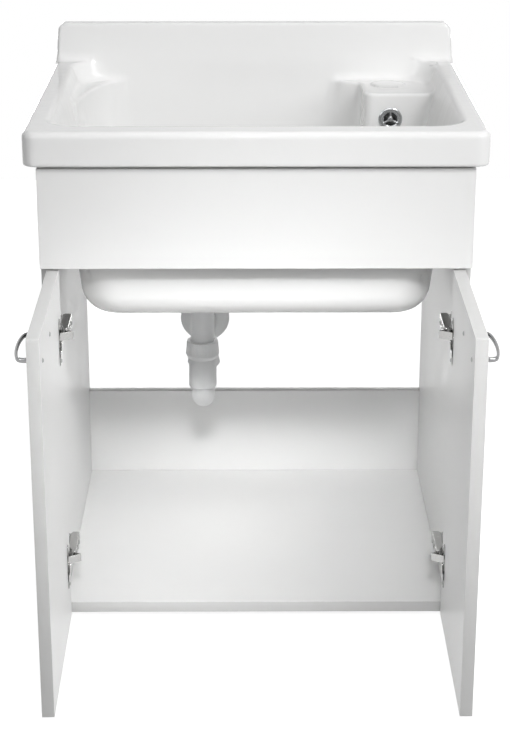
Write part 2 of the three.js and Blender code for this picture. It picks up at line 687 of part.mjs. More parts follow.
// A screw whose head's underside is at 'seat' behind the door's face, pointing to the outside.
function screw(side, radius, headHeight, inward, seat, length, z) {
  const shank = solid(throughDoor(side, radius, inward, seat - length, seat + headHeight, z, 8));
  const head = solid(throughDoor(side, screwHeadRadius, inward, seat, seat + headHeight, z, 12));
  const slot = new THREE.BoxGeometry(screwHeadRadius * 1.2, headHeight, screwSlot);
  const middle = [side * (pivot[0] - inward), seat + headHeight * 1.1 - pivot[1], z];
  const cross = slot.clone().rotateY(Math.PI / 2).translate(...middle);
  slot.translate(...middle);
  return geometryOf(shank.add(head).subtract(solid(slot)).subtract(solid(cross)));
}

// Bow handle: posts at the screws, joined by a flat bar that swells away from the door.
function bowHandle(side) {
  const z = base + handleHeight;
  const [start, end] = handlePlaces;
  const [near, far] = [seatGap, handleProjection - handleThickness / 2];
  const x = (inward) => side * (pivot[0] - inward);
  const y = (out) => -out - pivot[1];
  const path = new THREE.CatmullRomCurve3([[start + 1, near + 4], [start - 4, far * 0.6],
    [start - 16, far * 0.9], [(start + end) / 2, far], [end + 16, far * 0.9], [end + 4, far * 0.6],
    [end - 1, near + 4]].map(([inward, out]) => new THREE.Vector3(x(inward), y(out), z)));
  const section = new THREE.Shape().absellipse(0, 0, handleWidth / 2, handleThickness / 2, 0, 2 * Math.PI);
  let handle = solid(sweptFlat(path, section.getPoints(4).slice(0, -1), 16));
  const postTop = -near - handlePostLength;
  for (const inward of handlePlaces) {
    handle = handle.add(solid(throughDoor(side, handlePostRadius, inward, postTop, -near, z, 12)));
  }
  for (const inward of handlePlaces) {
    const bore = throughDoor(side, handleScrewRadius + screwClearance, inward, postTop + 1, 1, z, 8);
    handle = handle.subtract(solid(bore));
  }
  return geometryOf(handle);
}

// A section carried along a path that lies in a level plane, its first axis kept upright.
function sweptFlat(path, section, steps) {
  const rings = [];
  for (let i = 0; i <= steps; i++) {
    const point = path.getPointAt(i / steps);
    const along = path.getTangentAt(i / steps);
    rings.push(section.map(({ x: up, y: across }) => (
      [point.x - along.y * across, point.y + along.x * across, point.z + up])));
  }
  return loft(rings);
}

// Mounting plate on the side panel: a bar with two screwed wings.
function mountingPlate(side, height) {
  const [front, rear] = [carcassFront + plateSetback, carcassFront + plateSetback + plateLength];
  const wingMiddle = carcassFront + plateWingSetback;
  const face = board + seatGap;
  const slab = (thickness, y0, y1, half) => solid(block(side * (halfWidth - face),
    side * (halfWidth - face - thickness), y0, y1, height - half, height + half));
  const [wingFront, wingRear] = [wingMiddle - plateWingWidth / 2, wingMiddle + plateWingWidth / 2];
  let plate = slab(plateThickness, front, rear, plateWidth / 2);
  plate = plate.add(slab(plateWingThickness, wingFront, wingRear, plateWingSpan / 2));
  for (const way of [-1, 1]) {
    const headTop = face + plateWingThickness + plateScrewHeight;
    const head = disc(plateScrewHead, face + 1, headTop, 12).rotateY(Math.PI / 2);
    if (side > 0) head.rotateZ(Math.PI);
    head.translate(side * halfWidth, wingMiddle, height + way * (plateWingSpan / 2 - plateScrewFromTip));
    plate = plate.add(solid(head));
  }
  return geometryOf(plate);
}

// Arm: a folded steel channel whose two cheeks reach into the open and hold the link's pin.
function hingeArm(side, height) {
  const low = board + 2 * seatGap + plateThickness;
  const high = low + armHeight;
  const rear = carcassFront + plateSetback + plateLength + armPastPlate;
  const nose = nosePin;
  const shape = (points) => outline(points.map(([inward, back]) => [side * (halfWidth - inward), back]));
  const arc = [];
  for (let i = 0; i <= 8; i++) {
    const angle = -i / 8 * Math.PI;
    arc.push([nose[0] + armNoseRadius * Math.cos(angle), nose[1] + armNoseRadius * Math.sin(angle)]);
  }
  const cheek = [[low + 3, rear], [high, rear], [high, nose[1] + 9], ...arc,
    [nose[0] - armNoseRadius, carcassFront + 2], [low, carcassFront + plateSetback + 2], [low, rear - 5]];
  const half = armWidth / 2;
  let arm = solid(raised(shape(cheek), height - half, height + half));
  // The channel is hollow under its top sheet, and open right through at the nose.
  const opening = nose[1] + armNoseOpening;
  const noseHollow = [[low - 1, nose[1] - 6], [high + 1, nose[1] - 6], [high + 1, opening], [low - 1, opening]];
  const hollow = [[low - 1, opening - 1], [high - armSheet, opening - 1], [high - armSheet, rear + 1],
    [low - 1, rear + 1]];
  for (const cut of [noseHollow, hollow]) {
    arm = arm.subtract(solid(raised(shape(cut), height - half + armSheet, height + half - armSheet)));
  }
  const pin = disc(nosePinRadius, height - half + 1, height + half - 1, 12);
  pin.translate(side * (halfWidth - nose[0]), nose[1], 0);
  const screwHole = armScrewPart(side, height, armScrewRadius + screwClearance, board, 60);
  return geometryOf(arm.add(solid(pin)).subtract(screwHole));
}

function armScrewPart(side, height, radius, from, to) {
  const bar = disc(radius, from, to, 12).rotateY(Math.PI / 2);
  if (side > 0) bar.rotateZ(Math.PI);
  return solid(bar.translate(side * halfWidth, carcassFront + armScrewSetback, height));
}

function armScrew(side, height) {
  const low = board + 2 * seatGap + plateThickness;
  const top = low + armHeight;
  const shank = armScrewPart(side, height, armScrewRadius, low, top + 1);
  const head = armScrewPart(side, height, armScrewHead, top + seatGap, top + seatGap + armScrewHeight);
  return geometryOf(shank.add(head));
}

// Link: a bent steel strap between the arm's pin and the cup, drawn with the door closed.
function hingeLink(side, height) {
  const turn = -(1 + linkRatio()) * Math.PI / 2;
  const openPin = [pivot[0] - (nosePin[1] - pivot[1]), pivot[1] + (nosePin[0] - pivot[0])];
  const elbow = [linkElbow[0] - openPin[0], linkElbow[1] - openPin[1]];
  const bend = [nosePin[0] + elbow[0] * Math.cos(turn) - elbow[1] * Math.sin(turn),
    nosePin[1] + elbow[0] * Math.sin(turn) + elbow[1] * Math.cos(turn)];
  const half = armWidth / 2 - armSheet - seatGap;
  const [bottom, top] = [height - half, height + half];
  const strap = (from, to) => {
    const [dx, dy] = [to[0] - from[0], to[1] - from[1]];
    const length = Math.hypot(dx, dy);
    const [nx, ny] = [-dy / length * linkThickness / 2, dx / length * linkThickness / 2];
    const corners = [[from[0] + nx, from[1] + ny], [to[0] + nx, to[1] + ny], [to[0] - nx, to[1] - ny],
      [from[0] - nx, from[1] - ny]];
    return solid(planPiece(side, corners, nosePin, bottom, top));
  };
  const eye = (place, radius, segments) => solid(disc(radius, bottom, top, segments)
    .translate(side * (nosePin[0] - place[0]), place[1] - nosePin[1], 0));
  let link = strap(nosePin, bend).add(strap(bend, linkPin)).add(eye(nosePin, linkEye, 16));
  link = link.add(eye(bend, linkThickness / 2, 10)).add(eye(linkPin, linkKnuckle, 12));
  return geometryOf(link.subtract(solid(disc(nosePinRadius + pinClearance, bottom - 1, top + 1, 12))));
}

function addDoor(side) {
  const name = sideName(side);
  const turn = THREE.MathUtils.degToRad(openingAngle);
  const door = new THREE.Group();
  door.position.set(side * (halfWidth - pivot[0]), pivot[1], 0);
  door.rotation.z = side * turn;
  const links = new THREE.Group();
  links.position.set(side * (halfWidth - nosePin[0]), nosePin[1], 0);
  links.rotation.z = -side * turn * linkRatio();
  cabinet.add(door, links);
  place(door, `door_${name}`, doorBoard(side), laminate);
  place(door, `handle_${name}`, bowHandle(side), chrome);
  handlePlaces.forEach((inward, i) => {
    const seat = board + seatGap;
    const length = board + handleScrewBite;
    const handleScrew = screw(side, handleScrewRadius, 1.6, inward, seat, length, base + handleHeight);
    place(door, `handle_screw_${name}_${i === 0 ? 'outer' : 'inner'}`, handleScrew, steel);
  });
  for (const [level, height] of hingeHeights) {
    place(door, `hinge_cup_${name}_${level}`, hingeCup(side, height), steel);
    cupScrewPlaces(height).forEach(([inward, z], i) => {
      const seat = board + 2 * seatGap + flangeThickness;
      const cupScrew = screw(side, smallScrewRadius, 1.4, inward, seat, cupScrewLength, z);
      place(door, `cup_screw_${name}_${level}_${i === 0 ? 'low' : 'high'}`, cupScrew, steel);
    });
    place(links, `hinge_link_${name}_${level}`, hingeLink(side, height), steel);
    place(cabinet, `hinge_plate_${name}_${level}`, mountingPlate(side, height), steel);
    place(cabinet, `hinge_arm_${name}_${level}`, hingeArm(side, height), steel);
    place(cabinet, `arm_screw_${name}_${level}`, armScrew(side, height), steel);
  }
}

addCarcass();
addFeet();
addSink();
addOverflowRosette();
addWaste();
addTrap();
addDoor(-1);
addDoor(1);

// The origin is under the middle of the whole piece, on the floor, with the doors open.
const box = new THREE.Box3().setFromObject(cabinet, true);
cabinet.position.set(0, -(box.min.y + box.max.y) / 2, 0);

export default cabinet;
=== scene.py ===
import math

import bpy
import numpy as np
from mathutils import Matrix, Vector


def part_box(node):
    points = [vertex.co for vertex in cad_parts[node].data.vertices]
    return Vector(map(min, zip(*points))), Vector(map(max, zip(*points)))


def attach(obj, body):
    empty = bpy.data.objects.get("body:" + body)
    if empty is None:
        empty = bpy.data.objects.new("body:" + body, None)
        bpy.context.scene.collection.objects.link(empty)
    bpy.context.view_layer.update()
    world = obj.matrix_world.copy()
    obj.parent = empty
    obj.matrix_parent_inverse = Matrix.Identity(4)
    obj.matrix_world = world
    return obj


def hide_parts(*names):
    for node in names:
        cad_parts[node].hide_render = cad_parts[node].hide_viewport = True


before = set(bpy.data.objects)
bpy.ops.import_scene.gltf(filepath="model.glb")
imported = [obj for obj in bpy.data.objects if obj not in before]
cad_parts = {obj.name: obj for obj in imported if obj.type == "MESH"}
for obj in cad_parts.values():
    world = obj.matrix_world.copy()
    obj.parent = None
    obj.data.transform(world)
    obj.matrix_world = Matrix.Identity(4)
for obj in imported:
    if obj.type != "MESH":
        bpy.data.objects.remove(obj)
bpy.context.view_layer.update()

# ---- camera ----
# A long lens in front of the cabinet and a little above it, as a catalogue photographer stands.
scene = bpy.context.scene
scene.view_settings.view_transform = "Standard"
lens = bpy.data.cameras.new("catalogue_lens")
lens.sensor_width = 36
lens.lens = 90.48
lens.clip_end = 60
camera = bpy.data.objects.new("camera", lens)
camera.location = (-0.0131, -2.4764, 1.2408)
camera.rotation_euler = (math.radians(90 - 20.18), 0, math.radians(-0.28))
scene.collection.objects.link(camera)
scene.camera = camera

# ---- light, room and floor ----
# Soft boxes in front, at both sides and behind, a weak one overhead and a shaded lamp that shines into the
# open cupboard, in a dim room with a white floor and background.


def soft_box(name, place, size, watts, target=(0.0, 0.1, 0.4)):
    """A rectangular lamp at a place, turned to face the cabinet's middle or another target."""
    lamp = bpy.data.lights.new(name, "AREA")
    lamp.shape = "RECTANGLE"
    lamp.size, lamp.size_y = size
    lamp.energy = watts
    box = bpy.data.objects.new(name, lamp)
    box.location = place
    toward = np.subtract(target, place)
    across = math.hypot(toward[0], toward[1])
    box.rotation_euler = (math.pi / 2 + math.atan2(toward[2], across), 0, math.atan2(-toward[0], toward[1]))
    scene.collection.objects.link(box)


soft_box("front_high", (0.0, -3.3, 3.6), (1.5, 1.2), 6)
soft_box("front_middle", (0.0, -3.4, 2.1), (1.5, 1.0), 5)
soft_box("left_high", (-1.8, -2.9, 3.3), (1.5, 1.2), 10)
soft_box("left_side", (-2.4, -1.8, 1.8), (1.2, 1.2), 13)
soft_box("right_near", (1.3, -1.7, 2.3), (0.9, 0.7), 29)
soft_box("right_side", (2.4, -1.8, 1.8), (1.2, 1.2), 29)
soft_box("overhead", (0.2, 0.1, 2.70), (1.6, 1.4), 9, (0.0, 0.12, 0.5))
soft_box("rear_low", (0.0, 3.0, 0.35), (2.0, 0.5), 28, (0.0, 0.38, 0.4))
snoot = bpy.data.lights.new("cupboard_snoot", "SPOT")
snoot.energy, snoot.shadow_soft_size = 315, 0.24
snoot.spot_size, snoot.spot_blend = math.radians(9.8), 0.6
snoot_lamp = bpy.data.objects.new("cupboard_snoot", snoot)
snoot_lamp.location = (0.05, -2.22, 1.98)
snoot_lamp.rotation_euler = (math.radians(50.9), 0, math.radians(1.3))
snoot_lamp.scale = (1.35, 1, 1)
scene.collection.objects.link(snoot_lamp)


def wire(tree, kind, links=(), **settings):
    """A shader node with its settings, and its inputs given as values or as other nodes' outputs."""
    node = tree.nodes.new("ShaderNode" + kind)
    for key, value in settings.items():
        setattr(node, key, value)
    for key, value in dict(links).items():
        if isinstance(value, bpy.types.NodeSocket):
            tree.links.new(value, node.inputs[key])
        else:
            node.inputs[key].default_value = value
    return node


def emptied(owner):
    """The node tree of a world or material, with nothing in it."""
    owner.use_nodes = True
    owner.node_tree.nodes.clear()
    return owner.node_tree


def seen_directly(tree):
    """1 for rays from the camera and for those mirrored or bent by the object, otherwise 0."""
    path = wire(tree, "LightPath")
    first = wire(tree, "Math", {0: path.outputs["Is Camera Ray"], 1: path.outputs["Is Glossy Ray"]},
                 operation="MAXIMUM")
    both = wire(tree, "Math", {0: first.outputs[0], 1: path.outputs["Is Transmission Ray"]}, operation="MAXIMUM")
    return both.outputs[0]


world = bpy.data.worlds.new("pale_room")
scene.world = world
room = emptied(world)
glow = wire(room, "Background", {"Color": (0.97, 0.98, 1.0, 1), "Strength": 0.06})
white = wire(room, "Background", {"Color": (1, 1, 1, 1), "Strength": 1.0})
either = wire(room, "MixShader", {0: seen_directly(room), 1: glow.outputs[0], 2: white.outputs[0]})
wire(room, "OutputWorld", {"Surface": either.outputs[0]})

paper = bpy.data.materials.new("studio_paper")
sheet = emptied(paper)
matt = wire(sheet, "BsdfDiffuse", {"Color": (0.60, 0.60, 0.60, 1)})
# The paper's own white grows from 0.92 around the cabinet to full strength further off, so its far edge is lost.
spread = wire(sheet, "VectorMath", {0: wire(sheet, "TexCoord").outputs["Object"]}, operation="LENGTH")
fade = wire(sheet, "MapRange", {"Value": spread.outputs["Value"], "From Min": 0.55, "From Max": 1.30,
        "To Min": 0.92, "To Max": 1.0})
shine = wire(sheet, "Emission", {"Color": (1, 1, 1, 1), "Strength": fade.outputs[0]})
dimmed = wire(sheet, "BsdfDiffuse", {"Color": (0.30, 0.30, 0.30, 1)})
lit = wire(sheet, "AddShader", {0: shine.outputs[0], 1: dimmed.outputs[0]})
paper_look = wire(sheet, "MixShader", {0: seen_directly(sheet), 1: matt.outputs[0], 2: lit.outputs[0]})
wire(sheet, "OutputMaterial", {"Surface": paper_look.outputs[0]})

floor_mesh = bpy.data.meshes.new("floor")
reach = 2.4
floor_mesh.from_pydata([(-reach, -reach, 0), (reach, -reach, 0), (reach, reach, 0), (-reach, reach, 0)], [],
                       [(0, 1, 2, 3)])
floor_mesh.materials.append(paper)
floor = bpy.data.objects.new("floor", floor_mesh)
scene.collection.objects.link(floor)

# ---- boards of the carcass ----
# 16 mm chipboard faced with white melamine, cut square and closed with a thin glued edging.
# A hairline shows where the edging meets the face, and its arris is rounded over by the trimmer.


def grouped(name, inputs, outputs):
    """An empty node group with named sockets, and its input and output nodes."""
    group = bpy.data.node_groups.new(name, "ShaderNodeTree")
    for way, sockets in (("INPUT", inputs), ("OUTPUT", outputs)):
        for socket, kind in sockets:
            group.interface.new_socket(name=socket, in_out=way, socket_type="NodeSocket" + kind)
    return group, group.nodes.new("NodeGroupInput"), group.nodes.new("NodeGroupOutput")


# Slow cloudy change and fine grain over a surface, both from one place vector.
variation, given, out = grouped("surface_variation",
                                [("Place", "Vector"), ("Cloud Scale", "Float"), ("Grain Scale", "Float")],
                                [("Cloud", "Float"), ("Grain", "Float")])
cloud = wire(variation, "TexNoise", {"Vector": given.outputs[0], "Scale": given.outputs[1], "Detail": 4.0,
        "Roughness": 0.6})
grain = wire(variation, "TexNoise", {"Vector": given.outputs[0], "Scale": given.outputs[2], "Detail": 3.0,
        "Roughness": 0.55})
variation.links.new(cloud.outputs[0], out.inputs[0])
variation.links.new(grain.outputs[0], out.inputs[1])

# Handling wear and painted shade: the piece's own edge values, broken up in patches, rub an arris in places on
# boards and metal, and on the glaze they lay on painted shade.
wear, given, out = grouped("edge_wear_and_shade", [("Place", "Vector"), ("Patch Scale", "Float"), ("Amount", "Float")],
        [("Mask", "Float")])
edge = wire(wear, "Attribute", attribute_name="edge")
patches = wire(wear, "TexNoise", {"Vector": given.outputs[0], "Scale": given.outputs[1], "Detail": 5.0,
        "Roughness": 0.7})
rubbed = wire(wear, "MapRange", {"Value": patches.outputs[0], "From Min": 0.42, "From Max": 0.62, "To Min": 0.15,
        "To Max": 1.0})
worn_and_shaded = wire(wear, "Math", {0: edge.outputs["Fac"], 1: rubbed.outputs[0]}, operation="MULTIPLY")
mask = wire(wear, "Math", {0: worn_and_shaded.outputs[0], 1: given.outputs[2]}, operation="MULTIPLY")
wear.links.new(mask.outputs[0], out.inputs[0])


def surface(name, shades, roughness, cloud_scale, grain_scale, grain_depth, wear_and_shade_colour, wear_and_shade_amount,
            patch_scale=60.0, **shader):
    """A finish: two near shades mixed by the clouds, darkened where the piece's edge values say (rubbed edges, and
    painted shade on the glaze), roughness over a range and a fine relief.
    shader holds numbers that are the same all over, by the names of the shader's sockets with _ for a space."""
    made = bpy.data.materials.new(name)
    tree = emptied(made)
    place = wire(tree, "TexCoord").outputs["Object"]
    vary = wire(tree, "Group", {"Place": place, "Cloud Scale": cloud_scale, "Grain Scale": grain_scale},
                node_tree=variation)
    rub_and_shade = wire(tree, "Group", {"Place": place, "Patch Scale": patch_scale, "Amount": wear_and_shade_amount}, node_tree=wear)
    # A colour mix's inputs 6 and 7 are its two colours, and its output 2 is the mixed one.
    blend = wire(tree, "Mix", {0: vary.outputs["Cloud"], 6: (*shades[0], 1), 7: (*shades[1], 1)}, data_type="RGBA")
    rubbed_and_shaded_colour = wire(tree, "Mix", {0: rub_and_shade.outputs["Mask"], 6: blend.outputs[2], 7: (*wear_and_shade_colour, 1)},
                         data_type="RGBA")
    rough = wire(tree, "MapRange", {"Value": vary.outputs["Cloud"], "From Min": 0.3, "From Max": 0.7,
                                    "To Min": roughness[0], "To Max": roughness[1]})
    relief = wire(tree, "Bump", {"Height": vary.outputs["Grain"], "Strength": 1.0, "Distance": grain_depth})
    links = {"Base Color": rubbed_and_shaded_colour.outputs[2], "Roughness": rough.outputs[0], "Normal": relief.outputs[0]}
    links.update({key.replace("_", " "): value for key, value in shader.items()})
    body = wire(tree, "BsdfPrincipled", links)
    wire(tree, "OutputMaterial", {"Surface": body.outputs[0]})
    return made


def wrapped(rings, loop=False):
    """Faces through rings of points, given as rings by points by 3: quads between neighbours, then either
    the last ring joined to the first, or a flat face over each end."""
    count, around = rings.shape[:2]
    bands = count if loop else count - 1
    ring, step = np.meshgrid(np.arange(bands), np.arange(around), indexing="ij")
    following, onward = (ring + 1) % count, (step + 1) % around
    quads = np.stack([ring * around + step, ring * around + onward, following * around + onward,
                      following * around + step], -1)
    faces = [quads.reshape(-1, 4)]
    if not loop:
        faces += [np.arange(around)[None, ::-1], (count - 1) * around + np.arange(around)[None]]
    return rings.reshape(-1, 3), faces


def joined(*shells):
    """Several closed shells, each points and faces, as one list of points and faces."""
    start, every, faces = 0, [], []
    for shell_points, shell_faces in shells:
        every.append(shell_points)
        faces += [face + start for face in shell_faces]
        start += len(shell_points)
    return np.concatenate(every), faces


def piece(name, body, shape, finish, stands_for=(), edge=None, band=None):
    """Puts points and faces into a mesh whose faces point outwards, and lets it ride on a body. band is a
    second finish and the faces that have it."""
    place, faces = shape
    volume = sum(np.einsum("ij,ij->", place[face[:, 0]], np.cross(place[face[:, i]], place[face[:, i + 1]]))
                 for face in faces for i in range(1, face.shape[1] - 1))
    if volume < 0:
        faces = [face[:, ::-1] for face in faces]
    sizes = np.concatenate([np.full(len(face), face.shape[1]) for face in faces])
    mesh = bpy.data.meshes.new(name)
    mesh.vertices.add(len(place))
    mesh.vertices.foreach_set("co", place.astype(np.float32).ravel())
    mesh.loops.add(int(sizes.sum()))
    mesh.loops.foreach_set("vertex_index", np.concatenate([face.ravel() for face in faces]).astype(np.int32))
    mesh.polygons.add(len(sizes))
    mesh.polygons.foreach_set("loop_start", (np.cumsum(sizes) - sizes).astype(np.int32))
    mesh.update(calc_edges=True)
    mesh.validate()
    mesh.polygons.foreach_set("use_smooth", np.full(len(mesh.polygons), True))
    if edge is not None:
        mesh.attributes.new("edge", "FLOAT", "POINT").data.foreach_set("value", np.asarray(edge, np.float32))
    mesh.materials.append(finish)
    if band is not None:
        mesh.materials.append(band[0])
        of_band = np.zeros(len(mesh.polygons), np.int32)
        of_band[band[1]] = 1
        mesh.polygons.foreach_set("material_index", of_band)
    made = bpy.data.objects.new(name, mesh)
    scene.collection.objects.link(made)
    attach(made, body)
    if stands_for:
        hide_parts(*stands_for)
    return made


laminate = surface("white_laminate", ((0.885, 0.885, 0.88), (0.905, 0.905, 0.90)), (0.30, 0.40), 14.0, 1400.0,
                   0.00006, (0.60, 0.59, 0.57), 0.45, Specular_IOR_Level=0.12)

# The edging is coloured a darker grey than the white face: painted shade on the boards' edges.
shaded_banding = surface("edging_painted_shade", ((0.68, 0.68, 0.675), (0.71, 0.71, 0.705)), (0.34, 0.44), 20.0, 1800.0, 0.00005,
                  (0.60, 0.59, 0.57), 0.45, Specular_IOR_Level=0.12)

# Section through a board's edge: how far in from the edge, how deep below the face, and the wear there.
edging = np.array([(1.45, 0, 0), (1.06, 0, 0), (1.0, 0.10, 0.9), (0.94, 0, 0), (0.50, 0, 0.2), (0.22, 0.06, 1),
                   (0.06, 0.22, 1), (0, 0.5, 0.2)])
edging[:, :2] /= 1000
# The faces between the section's two halves, which go round the board, are the glued edging.
corner_points = 5
round_board = 4 * corner_points
band_faces = slice(round_board * (len(edging) - 1), round_board * len(edging))


def board_shape(low, high, thin):
    """A board between two corners: its outline, with corners of 1.5 mm, drawn at each point of the edging's
    section, first down from one face and then, the other way round, up to the other. Gives the edge values too."""
    low, high = np.array(low, float), np.array(high, float)
    across = [axis for axis in range(3) if axis != thin]
    section = np.concatenate([edging, edging[::-1] * [1, -1, 1]])
    depth = section[:, 1] + np.where(np.arange(len(section)) < len(edging), low[thin], high[thin])
    corner = 0.0015
    turn = np.linspace(0, math.pi / 2, corner_points)[None, :] + np.arange(4)[:, None] * math.pi / 2
    signs = np.array([(1, 1), (-1, 1), (-1, -1), (1, -1)])
    middle = (low + high)[across] / 2
    half = (high - low)[across] / 2 - corner
    centres = middle + signs * half
    radius = (corner - section[:, 0])[:, None, None]
    rings = np.zeros((len(section), 4, corner_points, 3))
    rings[..., across[0]] = centres[None, :, None, 0] + radius * np.cos(turn)
    rings[..., across[1]] = centres[None, :, None, 1] + radius * np.sin(turn)
    rings[..., thin] = depth[:, None, None]
    edge = np.repeat(section[:, 2], round_board)
    return wrapped(rings.reshape(len(section), round_board, 3)), edge


carcass_boards = [("side_panel_left", 0), ("side_panel_right", 0), ("bottom_panel", 2), ("low_back_panel", 1),
                  ("rear_top_rail", 1), ("fascia_panel", 1)]
for board, thin in carcass_boards:
    shape, edge_wear_values = board_shape(*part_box(board), thin)
    piece("faced_" + board, "cabinet", shape, laminate, [board], edge_wear_values,
          (shaded_banding, band_faces))

# ---- feet ----
# Turned plastic glides under the sides, each with a domed rim and a recess for its nail.


def eased(profile, radius, steps=3):
    """A profile with its inner corners cut back by up to radius and bridged by parabolas; where the first and
    last points are the same the profile is a loop, and that corner is eased too."""
    profile = np.array(profile, float)
    loop = np.allclose(profile[0], profile[-1])
    core = profile[:-1] if loop else profile[1:-1]
    before = np.roll(core, 1, 0) if loop else profile[:-2]
    after = np.roll(core, -1, 0) if loop else profile[2:]

    def toward(other):
        arm = other - core
        length = np.linalg.norm(arm[:, :2], axis=1, keepdims=True)
        return core + arm * np.minimum(radius / np.maximum(length, 1e-9), 0.45)

    start, end = toward(before), toward(after)
    share = np.linspace(0, 1, steps + 1)[None, :, None]
    rest = 1 - share
    bridges = start[:, None] * rest ** 2 + 2 * core[:, None] * share * rest + end[:, None] * share ** 2
    bridges = bridges.reshape(-1, profile.shape[1])
    return bridges if loop else np.concatenate([profile[:1], bridges, profile[-1:]])


def turned(profile, around=64, lobes=None):
    """A profile of radius and height turned about Z. A third value says how much of the lobes' share of the
    radius, given for each angle, is added there. A looped profile is closed on itself, another by flat ends."""
    profile = np.array(profile, float)
    loop = np.linalg.norm(profile[0, :2] - profile[-1, :2]) < 0.004 and profile[0, 0] > 0.004
    angle = np.arange(around) * 2 * math.pi / around
    radius = np.repeat(profile[:, :1], around, 1)
    if lobes is not None:
        radius = radius * (1 + profile[:, 2:3] * lobes(angle)[None])
    height = np.repeat(profile[:, 1:2], around, 1)
    return wrapped(np.stack([radius * np.cos(angle), radius * np.sin(angle), height], -1), loop)


def shifted(shape, x, y):
    """A shape moved to a place on the floor plan."""
    return shape[0] + np.array([x, y, 0.0]), shape[1]


foot_grey = surface("foot_plastic", ((0.24, 0.245, 0.25), (0.30, 0.305, 0.31)), (0.50, 0.62), 90.0, 2500.0,
                    0.00005, (0.16, 0.16, 0.16), 0.3)
foot_profile = eased([(0.0007, 0.0022), (0.0042, 0.0022), (0.0048, 0.0), (0.0132, 0.0), (0.0150, 0.0022),
                      (0.0150, 0.0098), (0.0138, 0.0119), (0.0007, 0.0119)], 0.0006)
foot_x, foot_front, foot_rear = 0.238, -0.054694, 0.343006
for side in ("left", "right"):
    for end, y in (("front", foot_front), ("rear", foot_rear)):
        x = foot_x if side == "right" else -foot_x
        piece(f"glide_{side}_{end}", "cabinet", shifted(turned(foot_profile, 48), x, y), foot_grey,
              [f"foot_{side}_{end}"])

# ---- ceramic sink ----
# One casting of fireclay under a clear-white gloss glaze: a deep tapered bowl hung from a thick rim, a raised
# splash at the back, a swept ledge in the left rear corner and a stepped one with the overflow in the right.
# Its shape is a distance function, joined with soft fillets as the mould has them, and skinned by a net.


def round_max(a, b, radius):
    """Where both of two distances are inside, with the edge between them rounded to radius."""
    inner = np.minimum(np.maximum(a, b) + radius, 0)
    return inner + np.hypot(np.maximum(a + radius, 0), np.maximum(b + radius, 0)) - radius


def round_min(a, b, radius):
    """Where either of two distances is inside, with a fillet of radius in the corner between them."""
    return -round_max(-a, -b, radius)


def inside_outline(x, y, corners):
    """Distance to a closed polygon: that to its nearest side, negative where a ray crosses its sides an odd number
    of times."""
    nearest = np.full(np.shape(x), np.inf)
    crossings = np.zeros(np.shape(x), int)
    for (x0, y0), (x1, y1) in zip(corners, np.roll(corners, -1, 0)):
        dx, dy = x1 - x0, y1 - y0
        share = np.clip(((x - x0) * dx + (y - y0) * dy) / (dx * dx + dy * dy), 0, 1)
        nearest = np.minimum(nearest, np.hypot(x - x0 - share * dx, y - y0 - share * dy))
        if dy:
            crossings += ((y0 > y) != (y1 > y)) & (x < x0 + (y - y0) * dx / dy)
    return np.where(crossings % 2 == 1, -nearest, nearest)


def ticks(start, *runs):
    """Places from a start through runs of (end, longest step), each run in equal steps."""
    places = [np.array([start])]
    for end, longest in runs:
        count = max(1, math.ceil((end - start) / longest - 1e-6))
        places.append(np.linspace(start, end, count + 1)[1:])
        start = end
    return np.concatenate(places)


def skinned(distance, xs, ys, zs, rounds=4):
    """The surface where a distance function is nought, on a grid with those ticks: one point in each cell that
    the surface crosses, at the mean of the crossings of its edges, then moved onto the surface along the
    slope; and one quad round each grid edge that it crosses."""
    lines = (xs, ys, zs)
    grid = np.stack(np.meshgrid(xs, ys, zs, indexing="ij"))
    field = distance(*grid)
    solid = field < 0
    cells = tuple(len(line) - 1 for line in lines)
    total = np.zeros(cells + (3,))
    hits = np.zeros(cells)
    crossed = []
    for axis in range(3):
        first = tuple(slice(None, -1) if i == axis else slice(None) for i in range(3))
        second = tuple(slice(1, None) if i == axis else slice(None) for i in range(3))
        cut = solid[first] != solid[second]
        at = np.argwhere(cut)
        f0, f1 = field[first][cut], field[second][cut]
        share = f0 / (f0 - f1)
        spot = np.stack([lines[i][at[:, i]] for i in range(3)], -1)
        spot[:, axis] += share * (lines[axis][at[:, axis] + 1] - lines[axis][at[:, axis]])
        u, v = (axis + 1) % 3, (axis + 2) % 3
        whole = (at[:, u] > 0) & (at[:, u] < cells[u]) & (at[:, v] > 0) & (at[:, v] < cells[v])
        at, spot, outward = at[whole], spot[whole], f0[whole] < 0
        around = []
        for du, dv in ((-1, -1), (0, -1), (0, 0), (-1, 0)):
            cell = at.copy()
            cell[:, u] += du
            cell[:, v] += dv
            index = np.ravel_multi_index(cell.T, cells)
            np.add.at(total.reshape(-1, 3), index, spot)
            np.add.at(hits.reshape(-1), index, 1)
            around.append(index)
        quads = np.stack(around, -1)
        crossed.append(np.where(outward[:, None], quads, quads[:, ::-1]))
    used = hits.reshape(-1) > 0
    number = np.cumsum(used) - 1
    place = total.reshape(-1, 3)[used] / hits.reshape(-1)[used][:, None]
    for _ in range(rounds):
        slope = slope_of(distance, place)
        value = distance(*place.T)
        move = value / np.maximum((slope ** 2).sum(1), 0.25)
        place = place - np.clip(move[:, None] * slope, -0.002, 0.002)
    return place, [number[np.concatenate(crossed)]]


def slope_of(distance, place, reach=2e-5):
    """How fast the distance grows along each axis, from points on both sides."""
    columns = []
    for axis in range(3):
        step = np.zeros(3)
        step[axis] = reach
        columns.append((distance(*(place + step).T) - distance(*(place - step).T)) / (2 * reach))
    return np.stack(columns, -1)


rim_top, rim_under, splash_top, sink_under, bowl_floor = 0.7045, 0.6590, 0.7600, 0.4410, 0.4530
sink_half, sink_front, sink_back, ledge_top = 0.3000, -0.125694, 0.388006, 0.6760
bowl_front, bowl_back, bowl_half = -0.085694, 0.360006, 0.2740
block_inner, block_front, pilaster_foot, pilaster_edge, pilaster_front = 0.160, 0.251006, 0.118, 0.140, 0.335006
overflow_x, overflow_z, tap_x, tap_y, drain_x, drain_y = 0.199, 0.6385, 0.199, 0.317006, -0.079, 0.205006

